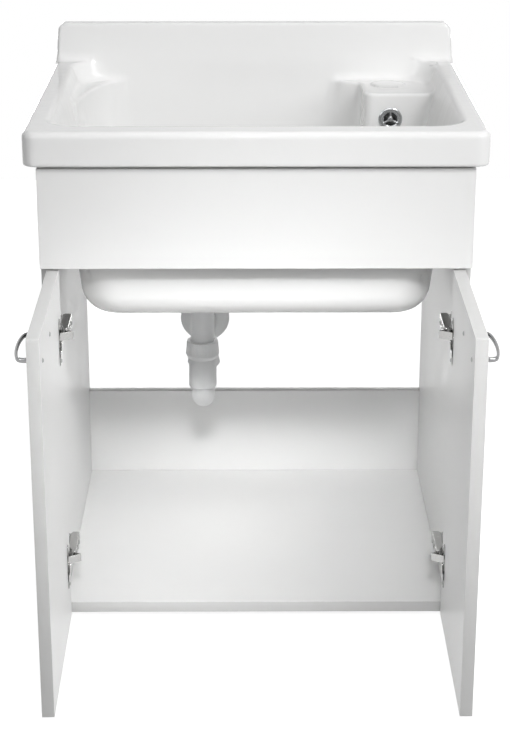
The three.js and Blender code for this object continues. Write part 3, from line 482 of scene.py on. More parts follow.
# The left ledge's front edge, as x and the distance in front of the bowl's back, through which a spline runs.
sweep = np.array([(-0.2585, 0.215), (-0.257, 0.175), (-0.251, 0.120), (-0.238, 0.062), (-0.220, 0.018),
                  (-0.198, 0.002), (-0.172, -0.002)])
share = np.linspace(0, 1, 7)[:-1, None]
runs = [0.5 * (2 * b + (c - a) * share + (2 * a - 5 * b + 4 * c - d) * share ** 2
               + (3 * b - a - 3 * c + d) * share ** 3)
        for a, b, c, d in zip(sweep, sweep[1:], sweep[2:], sweep[3:])]
left_edge = np.concatenate(runs + [sweep[-2:-1]]) * [1, -1] + [0, bowl_back]
left_ledge_outline = np.concatenate([left_edge, [(-0.198, 0.372), (-0.285, 0.372), (-0.285, left_edge[0, 1])]])


def sink_distance(x, y, z):
    """Rim slab and splash joined by a fillet, with the tapered shell below and the cavity taken out; then the
    ledges, whose plans run down the walls to the floor, the tap seat, and the two holes."""
    share = np.clip((rim_top - z) / (rim_top - bowl_floor), 0, 1)
    plan = round_max(np.abs(x) - sink_half,
                     np.abs(y - (sink_front + sink_back) / 2) - (sink_back - sink_front) / 2, 0.018)
    rim = round_max(round_max(plan, z - rim_top, 0.009), rim_under - z, 0.003)
    lean = np.clip((z - rim_top) / (splash_top - rim_top), 0, 1.2)
    ends = round_max(np.abs(x) - sink_half + 0.005 * lean, z - splash_top, 0.012)
    rise = np.maximum(z, bowl_floor) - rim_top
    back = bowl_back + 0.0517 * rise + 0.0642 * (rise + np.hypot(rise, 0.020))
    face = (back - y) * 0.984
    splash = round_max(round_max(ends, face, 0.005), plan, 0.005)
    splash = np.maximum(splash, rim_top - 0.025 - z)
    half = bowl_half - 0.048 * share ** 0.6
    front = bowl_front + 0.012 * share
    bowl = round_max(np.abs(x) - half, np.abs(y - (front + back) / 2) - (back - front) / 2, 0.045)
    shell = np.maximum(round_max(bowl - 0.008, sink_under - z, 0.030), z - rim_top + 0.020)
    outer = np.maximum(round_min(rim, splash, 0.010), plan)
    outer = round_min(outer, shell, 0.0015)
    near_back = np.clip((0.356 - y) / 0.030, 0, 1)
    lip = 0.001 + 0.003 * near_back ** 2 * (3 - 2 * near_back)
    cavity = round_max(bowl, bowl_floor - z, 0.032)
    body = round_max(outer, -cavity, lip)
    foot = pilaster_foot - 0.22 * np.clip(ledge_top - z, 0, 0.3)
    along, deep = pilaster_edge - foot, bowl_back - pilaster_front
    flank = ((foot - x) * deep + (bowl_back - y) * along) / np.hypot(along, deep)
    pilaster = round_max(flank, pilaster_front - y, 0.014)
    right = round_min(round_max(block_inner - x, block_front - y, 0.014), pilaster, 0.012)
    left = inside_outline(x, y, left_ledge_outline)
    ledge = round_max(np.minimum(left, right), z - ledge_top, 0.0035)
    ledge = np.maximum(ledge, outer + 0.004)
    body = np.maximum(round_min(body, ledge, 0.009), outer)
    seat = np.maximum(round_max(np.hypot(x - tap_x, y - tap_y) - 0.0245, z - ledge_top - 0.0025, 0.0012), 0.66 - z)
    body = round_min(body, seat, 0.0025)
    overflow = np.maximum(np.hypot(x - overflow_x, z - overflow_z) - 0.012,
                          np.abs(y - block_front - 0.020) - 0.025)
    drain = np.maximum(np.hypot(x - drain_x, y - drain_y) - 0.022, z - 0.47)
    return round_max(round_max(body, -overflow, 0.0015), -drain, 0.002)


sink_xs = ticks(-0.3035, (-0.285, 0.0030), (-0.215, 0.0042), (0.108, 0.0075), (0.128, 0.0034), (0.152, 0.0055),
                (0.176, 0.0030), (0.222, 0.0042), (0.264, 0.0042), (0.280, 0.0014), (0.3035, 0.0030))
sink_ys = ticks(-0.1295, (-0.112, 0.0028), (-0.070, 0.0042), (0.238, 0.0075), (0.264, 0.0030), (0.288, 0.0042),
                (0.326, 0.0055), (0.3915, 0.0036))
sink_zs = ticks(0.4375, (0.460, 0.0032), (0.492, 0.0045), (0.622, 0.0080), (0.656, 0.0050), (0.682, 0.0026),
                (0.696, 0.0036), (0.7085, 0.0022), (0.744, 0.0050), (0.7635, 0.0024))
sink_shape = skinned(sink_distance, sink_xs, sink_ys, sink_zs)
# The glaze's darker colour, 0.30 grey at full amount, is painted shade and a painted dark reflection, laid on by
# the edge values below.
glaze = surface("gloss_glaze", ((0.91, 0.91, 0.905), (0.93, 0.93, 0.925)), (0.04, 0.07), 6.0, 16.0, 0.0006,
                (0.30, 0.30, 0.30), 1.0, patch_scale=90.0, Specular_IOR_Level=0.25)
# Painted light carried in the edge values: 1 for painted shade in the overflow's bore, and less for a painted dark
# reflection along the bowl's right arris and a painted shadow before the tap's seat.
x, y, z = sink_shape[0].T
bore_shade = (np.hypot(x - overflow_x, z - overflow_z) < 0.0125) & (y > block_front + 0.003) & (y < 0.30)
past_arris = np.abs(x - 0.2738 + 0.012 * (rim_top - z) / 0.005)
arris_dark_reflection = np.clip(1 - past_arris / 0.0022, 0, 1) * (z > rim_top - 0.005) * (y > -0.02) * (y < 0.345)
seat_shadow = np.clip(1 - np.abs(np.hypot(x - tap_x, y - tap_y) - 0.0250) / 0.0035, 0, 1)
seat_shadow = seat_shadow * np.clip((tap_y - 0.006 - y) / 0.010, 0, 1) * (z < ledge_top + 0.003)
painted_shade_values = np.maximum(np.maximum(0.55 * arris_dark_reflection, 0.5 * seat_shadow), bore_shade)
piece("sink_casting", "cabinet", sink_shape, glaze, ["ceramic_sink"], painted_shade_values)

# ---- overflow rosette ----
# A chromed cast cover: a bevelled ring with a hub on three rounded spokes, and a sleeve pushed into the hole.


def rosette_distance(x, y, z):
    """Ring, hub and spokes as rounded plates of one thickness, joined by small fillets, and the sleeve behind."""
    out = block_front - y
    u, w = x - overflow_x, z - overflow_z
    r = np.hypot(u, w)
    crown = 0.0012 * np.clip(1 - ((r - 0.0142) / 0.0034) ** 2, 0, 1)
    plate = np.abs(out - 0.0012) - 0.0009
    ring = round_max(np.abs(r - 0.01415) - 0.00315, np.maximum(out - 0.0016 - crown, 0.0003 - out), 0.0006)
    hub = round_max(r - 0.0036, np.maximum(out - 0.0025, 0.0003 - out), 0.0008)
    shape = round_min(ring, hub, 0.0006)
    for turn in (90, 210, 330):
        a, b = math.cos(math.radians(turn)), math.sin(math.radians(turn))
        along, off = u * a + w * b, np.abs(w * a - u * b)
        spoke = np.maximum(round_max(off - 0.0013, plate, 0.0007), np.abs(along - 0.0062) - 0.0062)
        shape = round_min(shape, spoke, 0.0010)
    sleeve = np.maximum(np.abs(r - 0.0108) - 0.0008, np.maximum(out - 0.0012, -0.0118 - out))
    return round_min(shape, sleeve, 0.0004)


chrome = surface("chrome_plate", ((0.50, 0.51, 0.52), (0.58, 0.59, 0.60)), (0.05, 0.11), 120.0, 900.0, 0.000008,
                 (0.62, 0.60, 0.56), 0.4, Metallic=1.0)
rosette_shape = skinned(rosette_distance, overflow_x + ticks(-0.0181, (0.0181, 0.00055)),
                        block_front + ticks(-0.0034, (0.0006, 0.0004), (0.0126, 0.0015)),
                        overflow_z + ticks(-0.0181, (0.0181, 0.00055)))
piece("rosette_cover", "cabinet", rosette_shape, chrome, ["overflow_rosette"])

# ---- basket waste ----
# A chromed strainer with a bevelled flange, drawn down onto the bowl by a plastic nut under a rubber gasket.


def strainer_distance(x, y, z):
    """Flange, threaded sleeve and drilled plate about one axis, with a screw head in the middle."""
    r = np.hypot(x - drain_x, y - drain_y)
    up = z - bowl_floor
    top = 0.0015 + 0.0010 * np.clip((r - 0.0215) / 0.0115, 0, 1)
    shape = round_max(np.abs(r - 0.0272) - 0.0077, np.maximum(up - top, 0.0003 - up), 0.0008)
    thread = 0.00035 * np.sin(up * 2 * math.pi / 0.003) * (up < -0.010)
    sleeve = np.maximum(np.abs(r - 0.0204) - 0.0009 - 0.5 * thread, np.maximum(up - 0.0012, -0.0339 - up))
    shape = round_min(shape, sleeve, 0.0006)
    plate = np.maximum(r - 0.0204, np.abs(up + 0.005) - 0.001)
    for hole in range(6):
        a = hole * math.pi / 3
        from_hole = np.hypot(x - drain_x - 0.012 * math.cos(a), y - drain_y - 0.012 * math.sin(a))
        plate = round_max(plate, 0.004 - from_hole, 0.0003)
    head = np.maximum(np.hypot(r, (up + 0.0065) * 1.2) - 0.0044, -0.0045 - up)
    slit = np.maximum(np.abs(x - drain_x) - 0.0006, -0.0028 - up)
    return round_min(shape, np.minimum(plate, np.maximum(head, -slit)), 0.0003)


strainer_xy = ticks(-0.0357, (0.0357, 0.00095))
strainer_shape = skinned(strainer_distance, drain_x + strainer_xy, drain_y + strainer_xy,
                         bowl_floor + ticks(-0.0345, (-0.0075, 0.00075), (0.0030, 0.0005)))
piece("strainer_cup", "cabinet", strainer_shape, chrome, ["waste_strainer"])

rubber = surface("black_rubber", ((0.020, 0.020, 0.020), (0.035, 0.035, 0.035)), (0.62, 0.75), 60.0, 3000.0,
                 0.00005, (0.09, 0.09, 0.09), 0.5)
gasket_profile = eased([(0.0218, 0.4371), (0.0270, 0.4371), (0.0270, 0.4406), (0.0218, 0.4406),
                        (0.0218, 0.4371)], 0.0008)
piece("sealing_gasket", "cabinet", shifted(turned(gasket_profile), drain_x, drain_y), rubber,
      ["waste_gasket"])

plastic = surface("white_plastic", ((0.74, 0.745, 0.75), (0.79, 0.795, 0.80)), (0.34, 0.44), 30.0, 1800.0, 0.00004,
                  (0.45, 0.45, 0.46), 0.4)


def fitting(name, shape, node):
    """A white plastic piece of the waste in a node's place."""
    piece(name, "cabinet", shape, plastic, [node])


def eight_sided(angle):
    """An octagon's radius as a share of its corners', with the corners taken off, less one."""
    flat = math.cos(math.pi / 8) / np.cos(np.mod(angle, math.pi / 4) - math.pi / 8)
    return np.minimum(flat, 0.978) - 1


nut_profile = eased([(0.0219, 0.4251, 0), (0.0278, 0.4251, 0.8), (0.0290, 0.4263, 1), (0.0290, 0.4355, 1),
                     (0.0278, 0.4366, 0.8), (0.0219, 0.4366, 0), (0.0219, 0.4251, 0)], 0.0006)
fitting("waste_locknut", shifted(turned(nut_profile, 96, eight_sided), drain_x, drain_y), "waste_nut")

# ---- tailpiece, trap and outlet ----
# Injection-moulded white plastic: a tailpiece in the bend's socket, a U-bend and an outlet pipe to the wall,
# joined by two ribbed union nuts. A fine parting line from the mould runs along both pipes.
tail_profile = eased([(0.0155, 0.2741), (0.0175, 0.2741), (0.0175, 0.4025), (0.0245, 0.4092), (0.0245, 0.4219),
                      (0.0219, 0.4219), (0.0219, 0.4186), (0.0156, 0.4066), (0.0155, 0.2741)], 0.0006)
fitting("tail_tube", shifted(turned(tail_profile), drain_x, drain_y), "tailpiece")


def grip_ribs(angle):
    """Shallow hollows between thirty-six ribs, as a share of the radius."""
    return -0.018 * np.clip(np.cos(angle * 36) + 0.3, 0, 1)


front_nut = eased([(0.0179, 0.2904, 0), (0.0214, 0.2904, 0), (0.0214, 0.2851, 0), (0.0226, 0.2851, 0),
                   (0.0254, 0.2915, 0), (0.0249, 0.2945, 1), (0.0242, 0.3030, 1), (0.0237, 0.3095, 1),
                   (0.0234, 0.3119, 0), (0.0179, 0.3119, 0), (0.0179, 0.2904, 0)], 0.0008)
fitting("union_nut_front", shifted(turned(front_nut, 216, grip_ribs), drain_x, drain_y), "trap_nut_front")
rear_y, outlet_z, wall_y = 0.275006, 0.287, 0.388006
rear_nut = eased([(0.0176, 0.2481, 0), (0.0228, 0.2481, 0), (0.0253, 0.2521, 0), (0.0248, 0.2540, 1),
                  (0.0240, 0.2590, 1), (0.0220, 0.2644, 0), (0.0176, 0.2644, 0), (0.0176, 0.2481, 0)], 0.0008)
fitting("union_nut_rear", shifted(turned(rear_nut, 216, grip_ribs), drain_x, rear_y), "trap_nut_rear")


def bent(points, normals, radii, around=72, seam=0.0):
    """A looped section of radii carried along points in the plane across X: each ring lies across the pipe,
    between X and the normal, and a seam of that height stands on its inner and outer middle."""
    angle = np.arange(around) * 2 * math.pi / around
    ridge = seam * (np.abs(np.sin(angle)) > 0.9995)
    radius = radii[:, None] + np.where(radii[:, None] > 0.0165, ridge[None], 0)
    rings = np.zeros((len(points), around, 3))
    rings[..., 0] = drain_x + radius * np.cos(angle)
    rings[..., 1] = points[:, :1] + radius * np.sin(angle) * normals[:, :1]
    rings[..., 2] = points[:, 1:] + radius * np.sin(angle) * normals[:, 1:]
    return wrapped(rings, loop=True)


def bend_line(heights_down, heights_up, arc_steps=30):
    """Down the front leg, round half a circle of 35 mm and up the rear leg, with the normals towards the circle's
    middle."""
    half_turn = np.linspace(0, math.pi, arc_steps + 1)
    centre_y, centre_z, radius = (drain_y + rear_y) / 2, 0.247, 0.035
    y = np.concatenate([np.full(len(heights_down), drain_y), centre_y - radius * np.cos(half_turn),
                        np.full(len(heights_up), rear_y)])
    z = np.concatenate([heights_down, centre_z - radius * np.sin(half_turn), heights_up])
    turn = np.concatenate([np.zeros(len(heights_down)), half_turn, np.full(len(heights_up), math.pi)])
    return np.stack([y, z], -1), np.stack([np.cos(turn), np.sin(turn)], -1)


down = np.array([(0.2900, 0.0196), (0.2899, 0.0204), (0.2892, 0.0210), (0.2600, 0.0210), (0.2420, 0.0210),
                 (0.2396, 0.0208), (0.2388, 0.0200)])
socket_line, socket_normals = bend_line(down[:, 0], np.array([0.2560, 0.2576, 0.2580]))
outer_radii = np.concatenate([down[:, 1], np.full(31, 0.0172), [0.0172, 0.0170, 0.0164]])
# Below the socket's shoulder the rings belong to the arc already, so its first rings widen into the shoulder.
outer_radii[7:10] = [0.0181, 0.0174, 0.0172]
inner_line, inner_normals = bend_line(np.array([0.2896, 0.2720, 0.2719]), np.array([0.2575, 0.2580]))
inner_radii = np.concatenate([[0.0179, 0.0179, 0.0152], np.full(31, 0.0152), [0.0152, 0.0154]])
fitting("trap_u_bend",
      bent(np.concatenate([socket_line, inner_line[::-1]]), np.concatenate([socket_normals, inner_normals[::-1]]),
           np.concatenate([outer_radii, inner_radii[::-1]]), seam=0.00025), "trap_bend")


def outlet_line(first, last, arc_steps=20):
    """Up from the joint, a quarter circle of 22 mm towards the wall, and level to the wall."""
    quarter = np.linspace(0, math.pi / 2, arc_steps + 1)
    centre_y, centre_z, radius = rear_y + 0.022, 0.265, 0.022
    y = np.concatenate([np.full(len(first), rear_y), centre_y - radius * np.cos(quarter), last])
    z = np.concatenate([first, centre_z + radius * np.sin(quarter), np.full(len(last), outlet_z)])
    turn = np.concatenate([np.zeros(len(first)), quarter, np.full(len(last), math.pi / 2)])
    return np.stack([y, z], -1), np.stack([np.cos(turn), -np.sin(turn)], -1)


pipe_line, pipe_normals = outlet_line(np.array([0.2583, 0.2588]),
        np.array([0.3005, 0.3010, 0.3040, 0.3045, 0.3860, 0.3869]))
pipe_radii = np.concatenate([[0.0167, 0.0172], np.full(21, 0.0172),
                             [0.0172, 0.0179, 0.0179, 0.0172, 0.0172, 0.0168]])
bore_line, bore_normals = outlet_line(np.array([0.2583]), np.array([0.3869]))
bore_radii = np.full(len(bore_line), 0.0152)
fitting("outlet_tube",
      bent(np.concatenate([pipe_line, bore_line[::-1]]), np.concatenate([pipe_normals, bore_normals[::-1]]),
           np.concatenate([pipe_radii, bore_radii]), seam=0.0002), "outlet_pipe")

rosette_profile = eased([(0.0176, 0.0001), (0.0388, 0.0001), (0.0390, 0.0012), (0.0372, 0.0034),
                         (0.0300, 0.0064), (0.0224, 0.0089), (0.0176, 0.0089), (0.0176, 0.0001)], 0.0005)
dish, dish_faces = turned(rosette_profile, 96)
dish = np.stack([drain_x + dish[:, 0], wall_y - dish[:, 2], outlet_z + dish[:, 1]], -1)
fitting("wall_flange", (dish, dish_faces), "wall_rosette")

# ---- doors ----
# The same faced board, edged all round and bored for two hinge cups, their screws and the handle's screws.
pivot_x, pivot_y, hinge_turn = 0.272, -0.117494, math.radians(89.5)
pivot_inward, pivot_back = 0.011, 0.0025
door_wide, board_thick, door_low, door_high = 0.2815, 0.016, 0.0120, 0.5180
closed_face_y, carcass_half = -0.119994, 0.283
cup_inward, cup_screw_inward, cup_screw_off = 0.0225, 0.032, 0.026
hinge_levels = {"upper": 0.428, "lower": 0.102}
sides = {"left": -1, "right": 1}


def on_door(side, place):
    """Places on a closed door, as the distance in from the cabinet's side, back from the door's face, and
    height, turned open about the hinge line."""
    x = side * (pivot_inward - place[:, 0])
    y = place[:, 1] - pivot_back
    turn = side * hinge_turn
    return np.stack([side * pivot_x + x * math.cos(turn) - y * math.sin(turn),
                     pivot_y + x * math.sin(turn) + y * math.cos(turn), place[:, 2]], -1)


def bar_through(radius, inward, back0, back1, height, around=32):
    """A round bar through a door's thickness, in the closed door's places."""
    shape, faces = turned([(radius, back0), (radius, back1)], around)
    return np.stack([inward + shape[:, 0], shape[:, 2], height + shape[:, 1]], -1), faces


handle_screws, handle_middle, handle_height = (0.2535, 0.1575), 0.2055, 0.482
for side_name, side in sides.items():
    shape, edge_values = board_shape((0.0, 0.0, door_low), (door_wide, board_thick, door_high), 1)
    door = piece(f"faced_door_{side_name}", f"door_{side_name}",
                 (on_door(side, shape[0]), shape[1]), laminate, [f"door_{side_name}"], edge_values,
                 (shaded_banding, band_faces))
    cuts = []
    for height in hinge_levels.values():
        cuts.append(bar_through(0.0176, cup_inward, 0.0037, 0.020, height, 64))
        for way in (-1, 1):
            cuts.append(bar_through(0.00205, cup_screw_inward, 0.0040, 0.020, height + way * cup_screw_off))
    cuts += [bar_through(0.00225, inward, -0.004, 0.020, handle_height) for inward in handle_screws]
    bores_shape = joined(*cuts)
    bores = piece(f"bores_{side_name}", f"door_{side_name}",
                  (on_door(side, bores_shape[0]), bores_shape[1]), laminate)
    boring = door.modifiers.new("boring", "BOOLEAN")
    boring.operation, boring.solver, boring.object = "DIFFERENCE", "EXACT", bores
    bpy.context.view_layer.update()
    bored = bpy.data.meshes.new_from_object(door.evaluated_get(bpy.context.evaluated_depsgraph_get()))
    bored.set_sharp_from_angle(angle=math.radians(50))
    door.modifiers.clear()
    door.data = bored
    bpy.data.objects.remove(bores)

# ---- bow handles ----
# A chromed zinc casting: two round posts that flow into a flat bow, held by screws from inside the door.
bow_line = np.array([(48.0, 0.0), (48.0, 4.0), (47.7, 8.0), (46.2, 11.6), (43.0, 14.0), (38.0, 15.6),
                     (30.0, 17.0), (16.0, 18.4), (0.0, 18.75)])


def smoothed(points, rounds=3):
    """Chaikin's corner cutting: each span gives points a quarter from both its ends, and the ends stay."""
    for _ in range(rounds):
        early, late = points[:-1] * 0.75 + points[1:] * 0.25, points[:-1] * 0.25 + points[1:] * 0.75
        points = np.concatenate([points[:1], np.stack([early, late], 1).reshape(-1, points.shape[1]), points[-1:]])
    return points


half_bow = smoothed(bow_line)
# The bow's chrome is coloured far darker than the rosette's: painted dark reflections on a plate that is the same
# chrome.
handle_chrome_painted_dark = surface("handle_chrome_painted_dark", ((0.26, 0.262, 0.265), (0.33, 0.332, 0.335)), (0.05, 0.11), 120.0,
                        900.0, 0.000008, (0.42, 0.41, 0.40), 0.4, Metallic=1.0)
bow = np.concatenate([half_bow, half_bow[-2::-1] * [-1, 1]]) / 1000
travel = np.concatenate([[0], np.cumsum(np.linalg.norm(np.diff(bow, axis=0), axis=1))])
along = np.gradient(bow, travel, axis=0)
along /= np.linalg.norm(along, axis=1, keepdims=True)
from_end = np.minimum(travel, travel[-1] - travel)
flattening = np.clip((from_end - 0.004) / 0.016, 0, 1)
flattening = flattening * flattening * (3 - 2 * flattening)
flare = 0.0002 * np.clip(1 - from_end / 0.003, 0, 1) ** 2
half_height = 0.0034 - 0.0006 * flattening + flare
half_thick = 0.0034 - 0.0014 * flattening + flare
angle = np.arange(40) * 2 * math.pi / 40
# A section between a circle and a softened rectangle: the powers below one square the ellipse's sides.
squaring = (1 - 0.30 * flattening)[:, None]
up = np.sign(np.sin(angle)) * np.abs(np.sin(angle)) ** squaring * half_height[:, None]
across = np.sign(np.cos(angle)) * np.abs(np.cos(angle)) ** squaring * half_thick[:, None]
for side_name, side in sides.items():
    out = 0.0003 + bow[:, 1:2] + across * along[:, 0:1]
    inward = handle_middle + bow[:, 0:1] - across * along[:, 1:2]
    rings = np.stack([inward, -out, handle_height + up], -1)
    ends = []
    for end in (0, -1):
        middle = np.array([handle_screws[end], -0.0003, handle_height])
        spokes = rings[end] - middle
        spokes /= np.linalg.norm(spokes, axis=1, keepdims=True)
        ends.append([middle + spokes * 0.00225 - [0, 0.0080, 0], middle + spokes * 0.00225])
    rings = np.concatenate([np.stack(ends[0]), rings, np.stack(ends[1][::-1])])
    shape = wrapped(rings)
    piece(f"bow_handle_{side_name}", f"door_{side_name}",
          (on_door(side, shape[0]), shape[1]), handle_chrome_painted_dark, [f"handle_{side_name}"])

# ---- screws ----
# Zinc-plated pan-head screws with a tapered cross recess; the thread is hidden in its hole.


def cross_slot(u, v, arm, reach):
    """A cross of two bars, each twice arm wide and twice reach long."""
    first = np.maximum(np.abs(u) - arm, np.abs(v) - reach)
    return np.minimum(first, np.maximum(np.abs(v) - arm, np.abs(u) - reach))


def screw_shape(radius, head_radius, head_height, length):
    """A domed head above nought, with a cross that narrows as it goes down, on a shank with a blunt point."""

    def distance(x, y, z):
        r = np.hypot(x, y)
        dome = np.hypot(r, z + 0.0042 - head_height) - 0.0042
        head = round_max(round_max(r - head_radius, dome, 0.0003), -z, 0.0002)
        shank = np.maximum(r - radius * np.clip((z + length) / 0.0016, 0.3, 1),
                           np.maximum(z - 0.0004, -z - length))
        depth = np.clip((z - head_height + 0.0011) / 0.0011, 0, 1)
        arm = 0.00032 + 0.00016 * depth
        reach = 0.0009 + 0.0010 * depth
        cross = cross_slot(x, y, arm, reach)
        cross = np.maximum(cross, head_height - 0.0011 - z)
        return round_max(np.minimum(head, shank), -cross, 0.0001)

    span = head_radius + 0.0003
    sweep = ticks(-span, (span, 0.00024))
    return skinned(distance, sweep, sweep,
                   ticks(-length - 0.0004, (-0.0005, 0.0012), (head_height + 0.0004, 0.0002)))


zinc = surface("screw_steel", ((0.50, 0.50, 0.50), (0.60, 0.60, 0.60)), (0.24, 0.36), 400.0, 4000.0, 0.00001,
               (0.45, 0.45, 0.45), 0.2, Metallic=1.0)
handle_screw = screw_shape(0.0019, 0.0036, 0.0016, 0.0220)
cup_screw = screw_shape(0.0017, 0.0036, 0.0014, 0.0108)
# How far the heads' seats lie behind the closed door's face.
handle_screw_back, cup_screw_back = 0.0163, 0.0178
for side_name, side in sides.items():
    for which, inward in zip(("outer", "inner"), handle_screws):
        local = handle_screw[0]
        place = np.stack([inward + local[:, 0], handle_screw_back + local[:, 2], handle_height + local[:, 1]], -1)
        piece(f"pan_screw_handle_{side_name}_{which}", f"door_{side_name}",
              (on_door(side, place), handle_screw[1]), zinc, [f"handle_screw_{side_name}_{which}"])
    for level, height in hinge_levels.items():
        for which, way in (("low", -1), ("high", 1)):
            local = cup_screw[0]
            place = np.stack([cup_screw_inward + local[:, 0], cup_screw_back + local[:, 2],
                              height + way * cup_screw_off + local[:, 1]], -1)
            piece(f"pan_screw_cup_{side_name}_{level}_{which}", f"door_{side_name}",
                  (on_door(side, place), cup_screw[1]), zinc, [f"cup_screw_{side_name}_{level}_{which}"])

# ---- concealed hinges ----
# Pressed and nickel-plated steel: a cup let into the door, a bent link, and an arm screwed onto a plate on the
# cabinet's side. Each is drawn once, as in from the cabinet's side, back from the closed doors' faces, and height.
steel = surface("hinge_steel", ((0.42, 0.418, 0.41), (0.52, 0.518, 0.51)), (0.16, 0.28), 260.0, 3200.0, 0.000012,
                (0.50, 0.49, 0.47), 0.2, Metallic=1.0)
nose_in, nose_back = 0.030, 0.01675
link_turn = 0.33181 * hinge_turn


def cup_distance(p, q, h):
    """Round cup, ring and winged flange, filleted together as pressed sheet, with the mouth and screw
    holes taken out."""
    r = np.hypot(p - cup_inward, h)
    wings = round_max(np.abs(p - 0.0325) - 0.0055, np.abs(h) - 0.032, 0.0035)
    flange = round_max(round_min(r - 0.0200, wings, 0.008), np.abs(q - 0.0169) - 0.0006, 0.0004)
    cup = round_max(r - 0.0173, np.maximum(0.004 - q, q - 0.0174), 0.0012)
    shape = np.minimum(flange, cup)
    shape = round_max(shape, -round_max(r - 0.0161, 0.0052 - q, 0.0015), 0.0005)
    for way in (-1, 1):
        shape = round_max(shape, 0.00205 - np.hypot(p - cup_screw_inward, h - way * cup_screw_off), 0.0002)
    return shape


def link_distance(p, q, h):
    """Three straps end to end from the arm's pin, round the bend and along the cup's floor, up to the cup's pin,
    with an eye at each end."""
    def strap(p0, q0, p1, q1):
        share = np.clip(((p - p0) * (p1 - p0) + (q - q0) * (q1 - q0)) / ((p1 - p0) ** 2 + (q1 - q0) ** 2), 0, 1)
        return np.hypot(p - p0 - share * (p1 - p0), q - q0 - share * (q1 - q0)) - 0.0009
    bend, crank, cup_pin = (0.0351, 0.0066), (0.0200, 0.0066), (0.0120, 0.0095)
    plan = np.minimum(strap(nose_in, nose_back, *bend), np.minimum(strap(*bend, *crank), strap(*crank, *cup_pin)))
    eyes = np.minimum(np.hypot(p - nose_in, q - nose_back) - 0.0031,
                      np.hypot(p - cup_pin[0], q - cup_pin[1]) - 0.0012)
    plan = np.minimum(plan, eyes)
    shape = round_max(plan, np.abs(h) - 0.0055, 0.0004)
    return round_max(shape, 0.0014 - np.hypot(p - nose_in, q - nose_back), 0.0002)


nose_arc = -np.linspace(0, math.pi, 9)
cheek = np.concatenate([[(0.0236, 0.0783), (0.0331, 0.0783), (0.0331, 0.02575)],
                        np.stack([nose_in + 0.0034 * np.cos(nose_arc), nose_back + 0.0034 * np.sin(nose_arc)], -1),
                        [(0.0266, 0.0223), (0.0206, 0.0323), (0.0206, 0.0733)]])


def arm_distance(p, q, h):
    """A folded channel: the cheeks' outline raised to the arm's width, hollowed between the cheeks, with the
    link's pin across the nose, a hole for the fixing screw and a slotted adjusting screw on its back."""
    shape = round_max(inside_outline(p, q, cheek), np.abs(h) - 0.008, 0.0012)
    nose_gap = np.maximum(np.abs(h) - 0.0058, np.maximum(0.0107 - q, q - 0.02875))
    channel = np.maximum(np.abs(h) - 0.0058, np.maximum(p - 0.0309, 0.02775 - q))
    shape = round_max(round_max(shape, -nose_gap, 0.0003), -channel, 0.0003)
    pin = np.maximum(np.hypot(p - nose_in, q - nose_back) - 0.0012, np.abs(h) - 0.007)
    shape = np.minimum(shape, pin)
    shape = round_max(shape, np.where(p > 0.020, 0.00235, 0) - np.hypot(q - 0.0603, h), 0.0002)
    knob = round_max(np.hypot(q - 0.0440, h) - 0.0034, np.maximum(p - 0.0341, 0.0315 - p), 0.0003)
    slit = np.maximum(np.abs(h) - 0.0005, 0.0332 - p)
    rib = np.maximum(round_max(np.abs(h) - 0.0016, np.abs(q - 0.0715) - 0.0045, 0.0012),
                     np.abs(p - 0.0330) - 0.0005)
    return np.minimum(np.minimum(shape, rib), np.maximum(knob, -slit))


def plate_distance(p, q, h):
    """A bar under the arm and a cross piece with two domed, cross-slotted fixing screws."""
    bar = round_max(round_max(np.abs(q - 0.0523) - 0.022, np.abs(h) - 0.008, 0.0015),
                    np.abs(p - 0.0183) - 0.0020, 0.0006)
    wings = round_max(round_max(np.abs(q - 0.0573) - 0.0065, np.abs(h) - 0.020, 0.005),
                      np.abs(p - 0.0173) - 0.0010, 0.0005)
    shape = round_min(bar, wings, 0.0008)
    for way in (-1, 1):
        u, v = q - 0.0573, h - way * 0.014
        head = round_max(np.hypot(u, v) - 0.0038, np.maximum(p - 0.0197, 0.0170 - p), 0.0008)
        cross = cross_slot(u, v, 0.0005, 0.0019)
        shape = np.minimum(shape, round_max(head, -np.maximum(cross, 0.0187 - p), 0.0001))
    return shape


def fixing_distance(p, q, h):
    """A machine screw through the arm into the plate, with a domed, cross-slotted head."""
    u = q - 0.0603
    r = np.hypot(u, h)
    head = round_max(round_max(r - 0.0040, np.hypot(r, p - 0.0301) - 0.0050, 0.0003), 0.0334 - p, 0.0002)
    shank = np.maximum(r - 0.0020, np.maximum(p - 0.0340, 0.0206 - p))
    cross = cross_slot(u, h, 0.0005, 0.0020)
    return round_max(np.minimum(head, shank), -np.maximum(cross, 0.0340 - p), 0.0001)


def on_cabinet(side, place):
    """Places on the cabinet's side, for its left or right."""
    return np.stack([side * (carcass_half - place[:, 0]), closed_face_y + place[:, 1], place[:, 2]], -1)


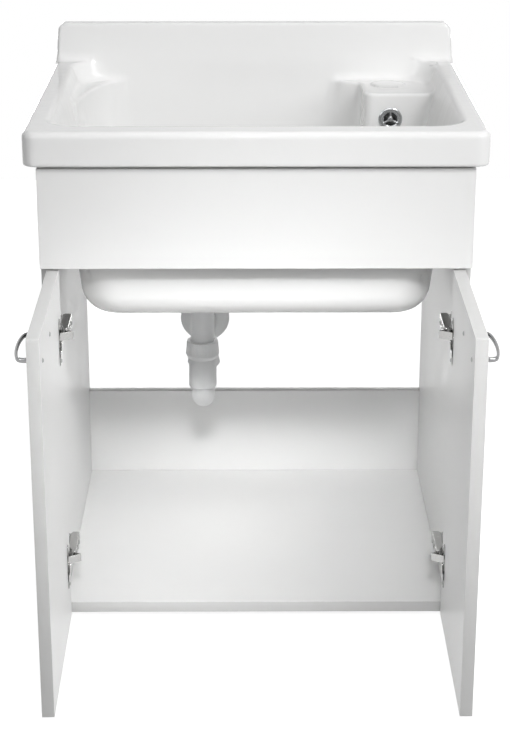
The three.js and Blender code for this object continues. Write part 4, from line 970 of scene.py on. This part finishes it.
def on_link(side, place):
    """Places on the closed hinge, turned with the link about the arm's pin, against the door's turn."""
    x, y = side * (nose_in - place[:, 0]), place[:, 1] - nose_back
    turn = -side * link_turn
    return np.stack([side * (carcass_half - nose_in) + x * math.cos(turn) - y * math.sin(turn),
                     closed_face_y + nose_back + x * math.sin(turn) + y * math.cos(turn), place[:, 2]], -1)


fine = 0.00055
hinge_pieces = [
    ("hinge_cup", "pressed_cup", "door_{}", "hinge_steel", steel, on_door,
     skinned(cup_distance, ticks(0.0019, (0.0386, 0.0008)), ticks(0.0034, (0.0155, 0.0012), (0.0181, 0.00035)),
             ticks(-0.0329, (0.0329, 0.0008)))),
    ("hinge_link", "bent_link", "links_{}", "hinge_steel", steel, on_link,
     skinned(link_distance, ticks(0.0098, (0.0370, fine)), ticks(0.0036, (0.0204, fine)),
             ticks(-0.0060, (-0.0045, 0.0004), (0.0045, 0.0015), (0.0060, 0.0004)))),
    ("hinge_plate", "mounting_plate", "cabinet", "hinge_steel", steel, on_cabinet,
     skinned(plate_distance, ticks(0.0160, (0.0207, 0.0004)), ticks(0.0298, (0.0748, 0.0008)),
             ticks(-0.0206, (0.0206, 0.0006)))),
    ("hinge_arm", "hinge_channel", "cabinet", "hinge_steel", steel, on_cabinet,
     skinned(arm_distance, ticks(0.0200, (0.0346, fine)), ticks(0.0128, (0.0790, 0.0008)),
             ticks(-0.0086, (-0.0050, 0.0005), (0.0050, 0.0006), (0.0086, 0.0005)))),
    ("arm_screw", "arm_fixing", "cabinet", "screw_steel", zinc, on_cabinet,
     skinned(fixing_distance, ticks(0.0202, (0.0328, 0.0018), (0.0356, 0.00025)),
             ticks(0.0560, (0.0646, 0.00028)), ticks(-0.0043, (0.0043, 0.00028)))),
]
for side_name, side in sides.items():
    for level, height in hinge_levels.items():
        for node, name, body, slot, finish, placed, (local, faces) in hinge_pieces:
            raised = local + [0, 0, height]
            piece(f"{name}_{side_name}_{level}", body.format(side_name), (placed(side, raised), faces),
                  finish, [f"{node}_{side_name}_{level}"])
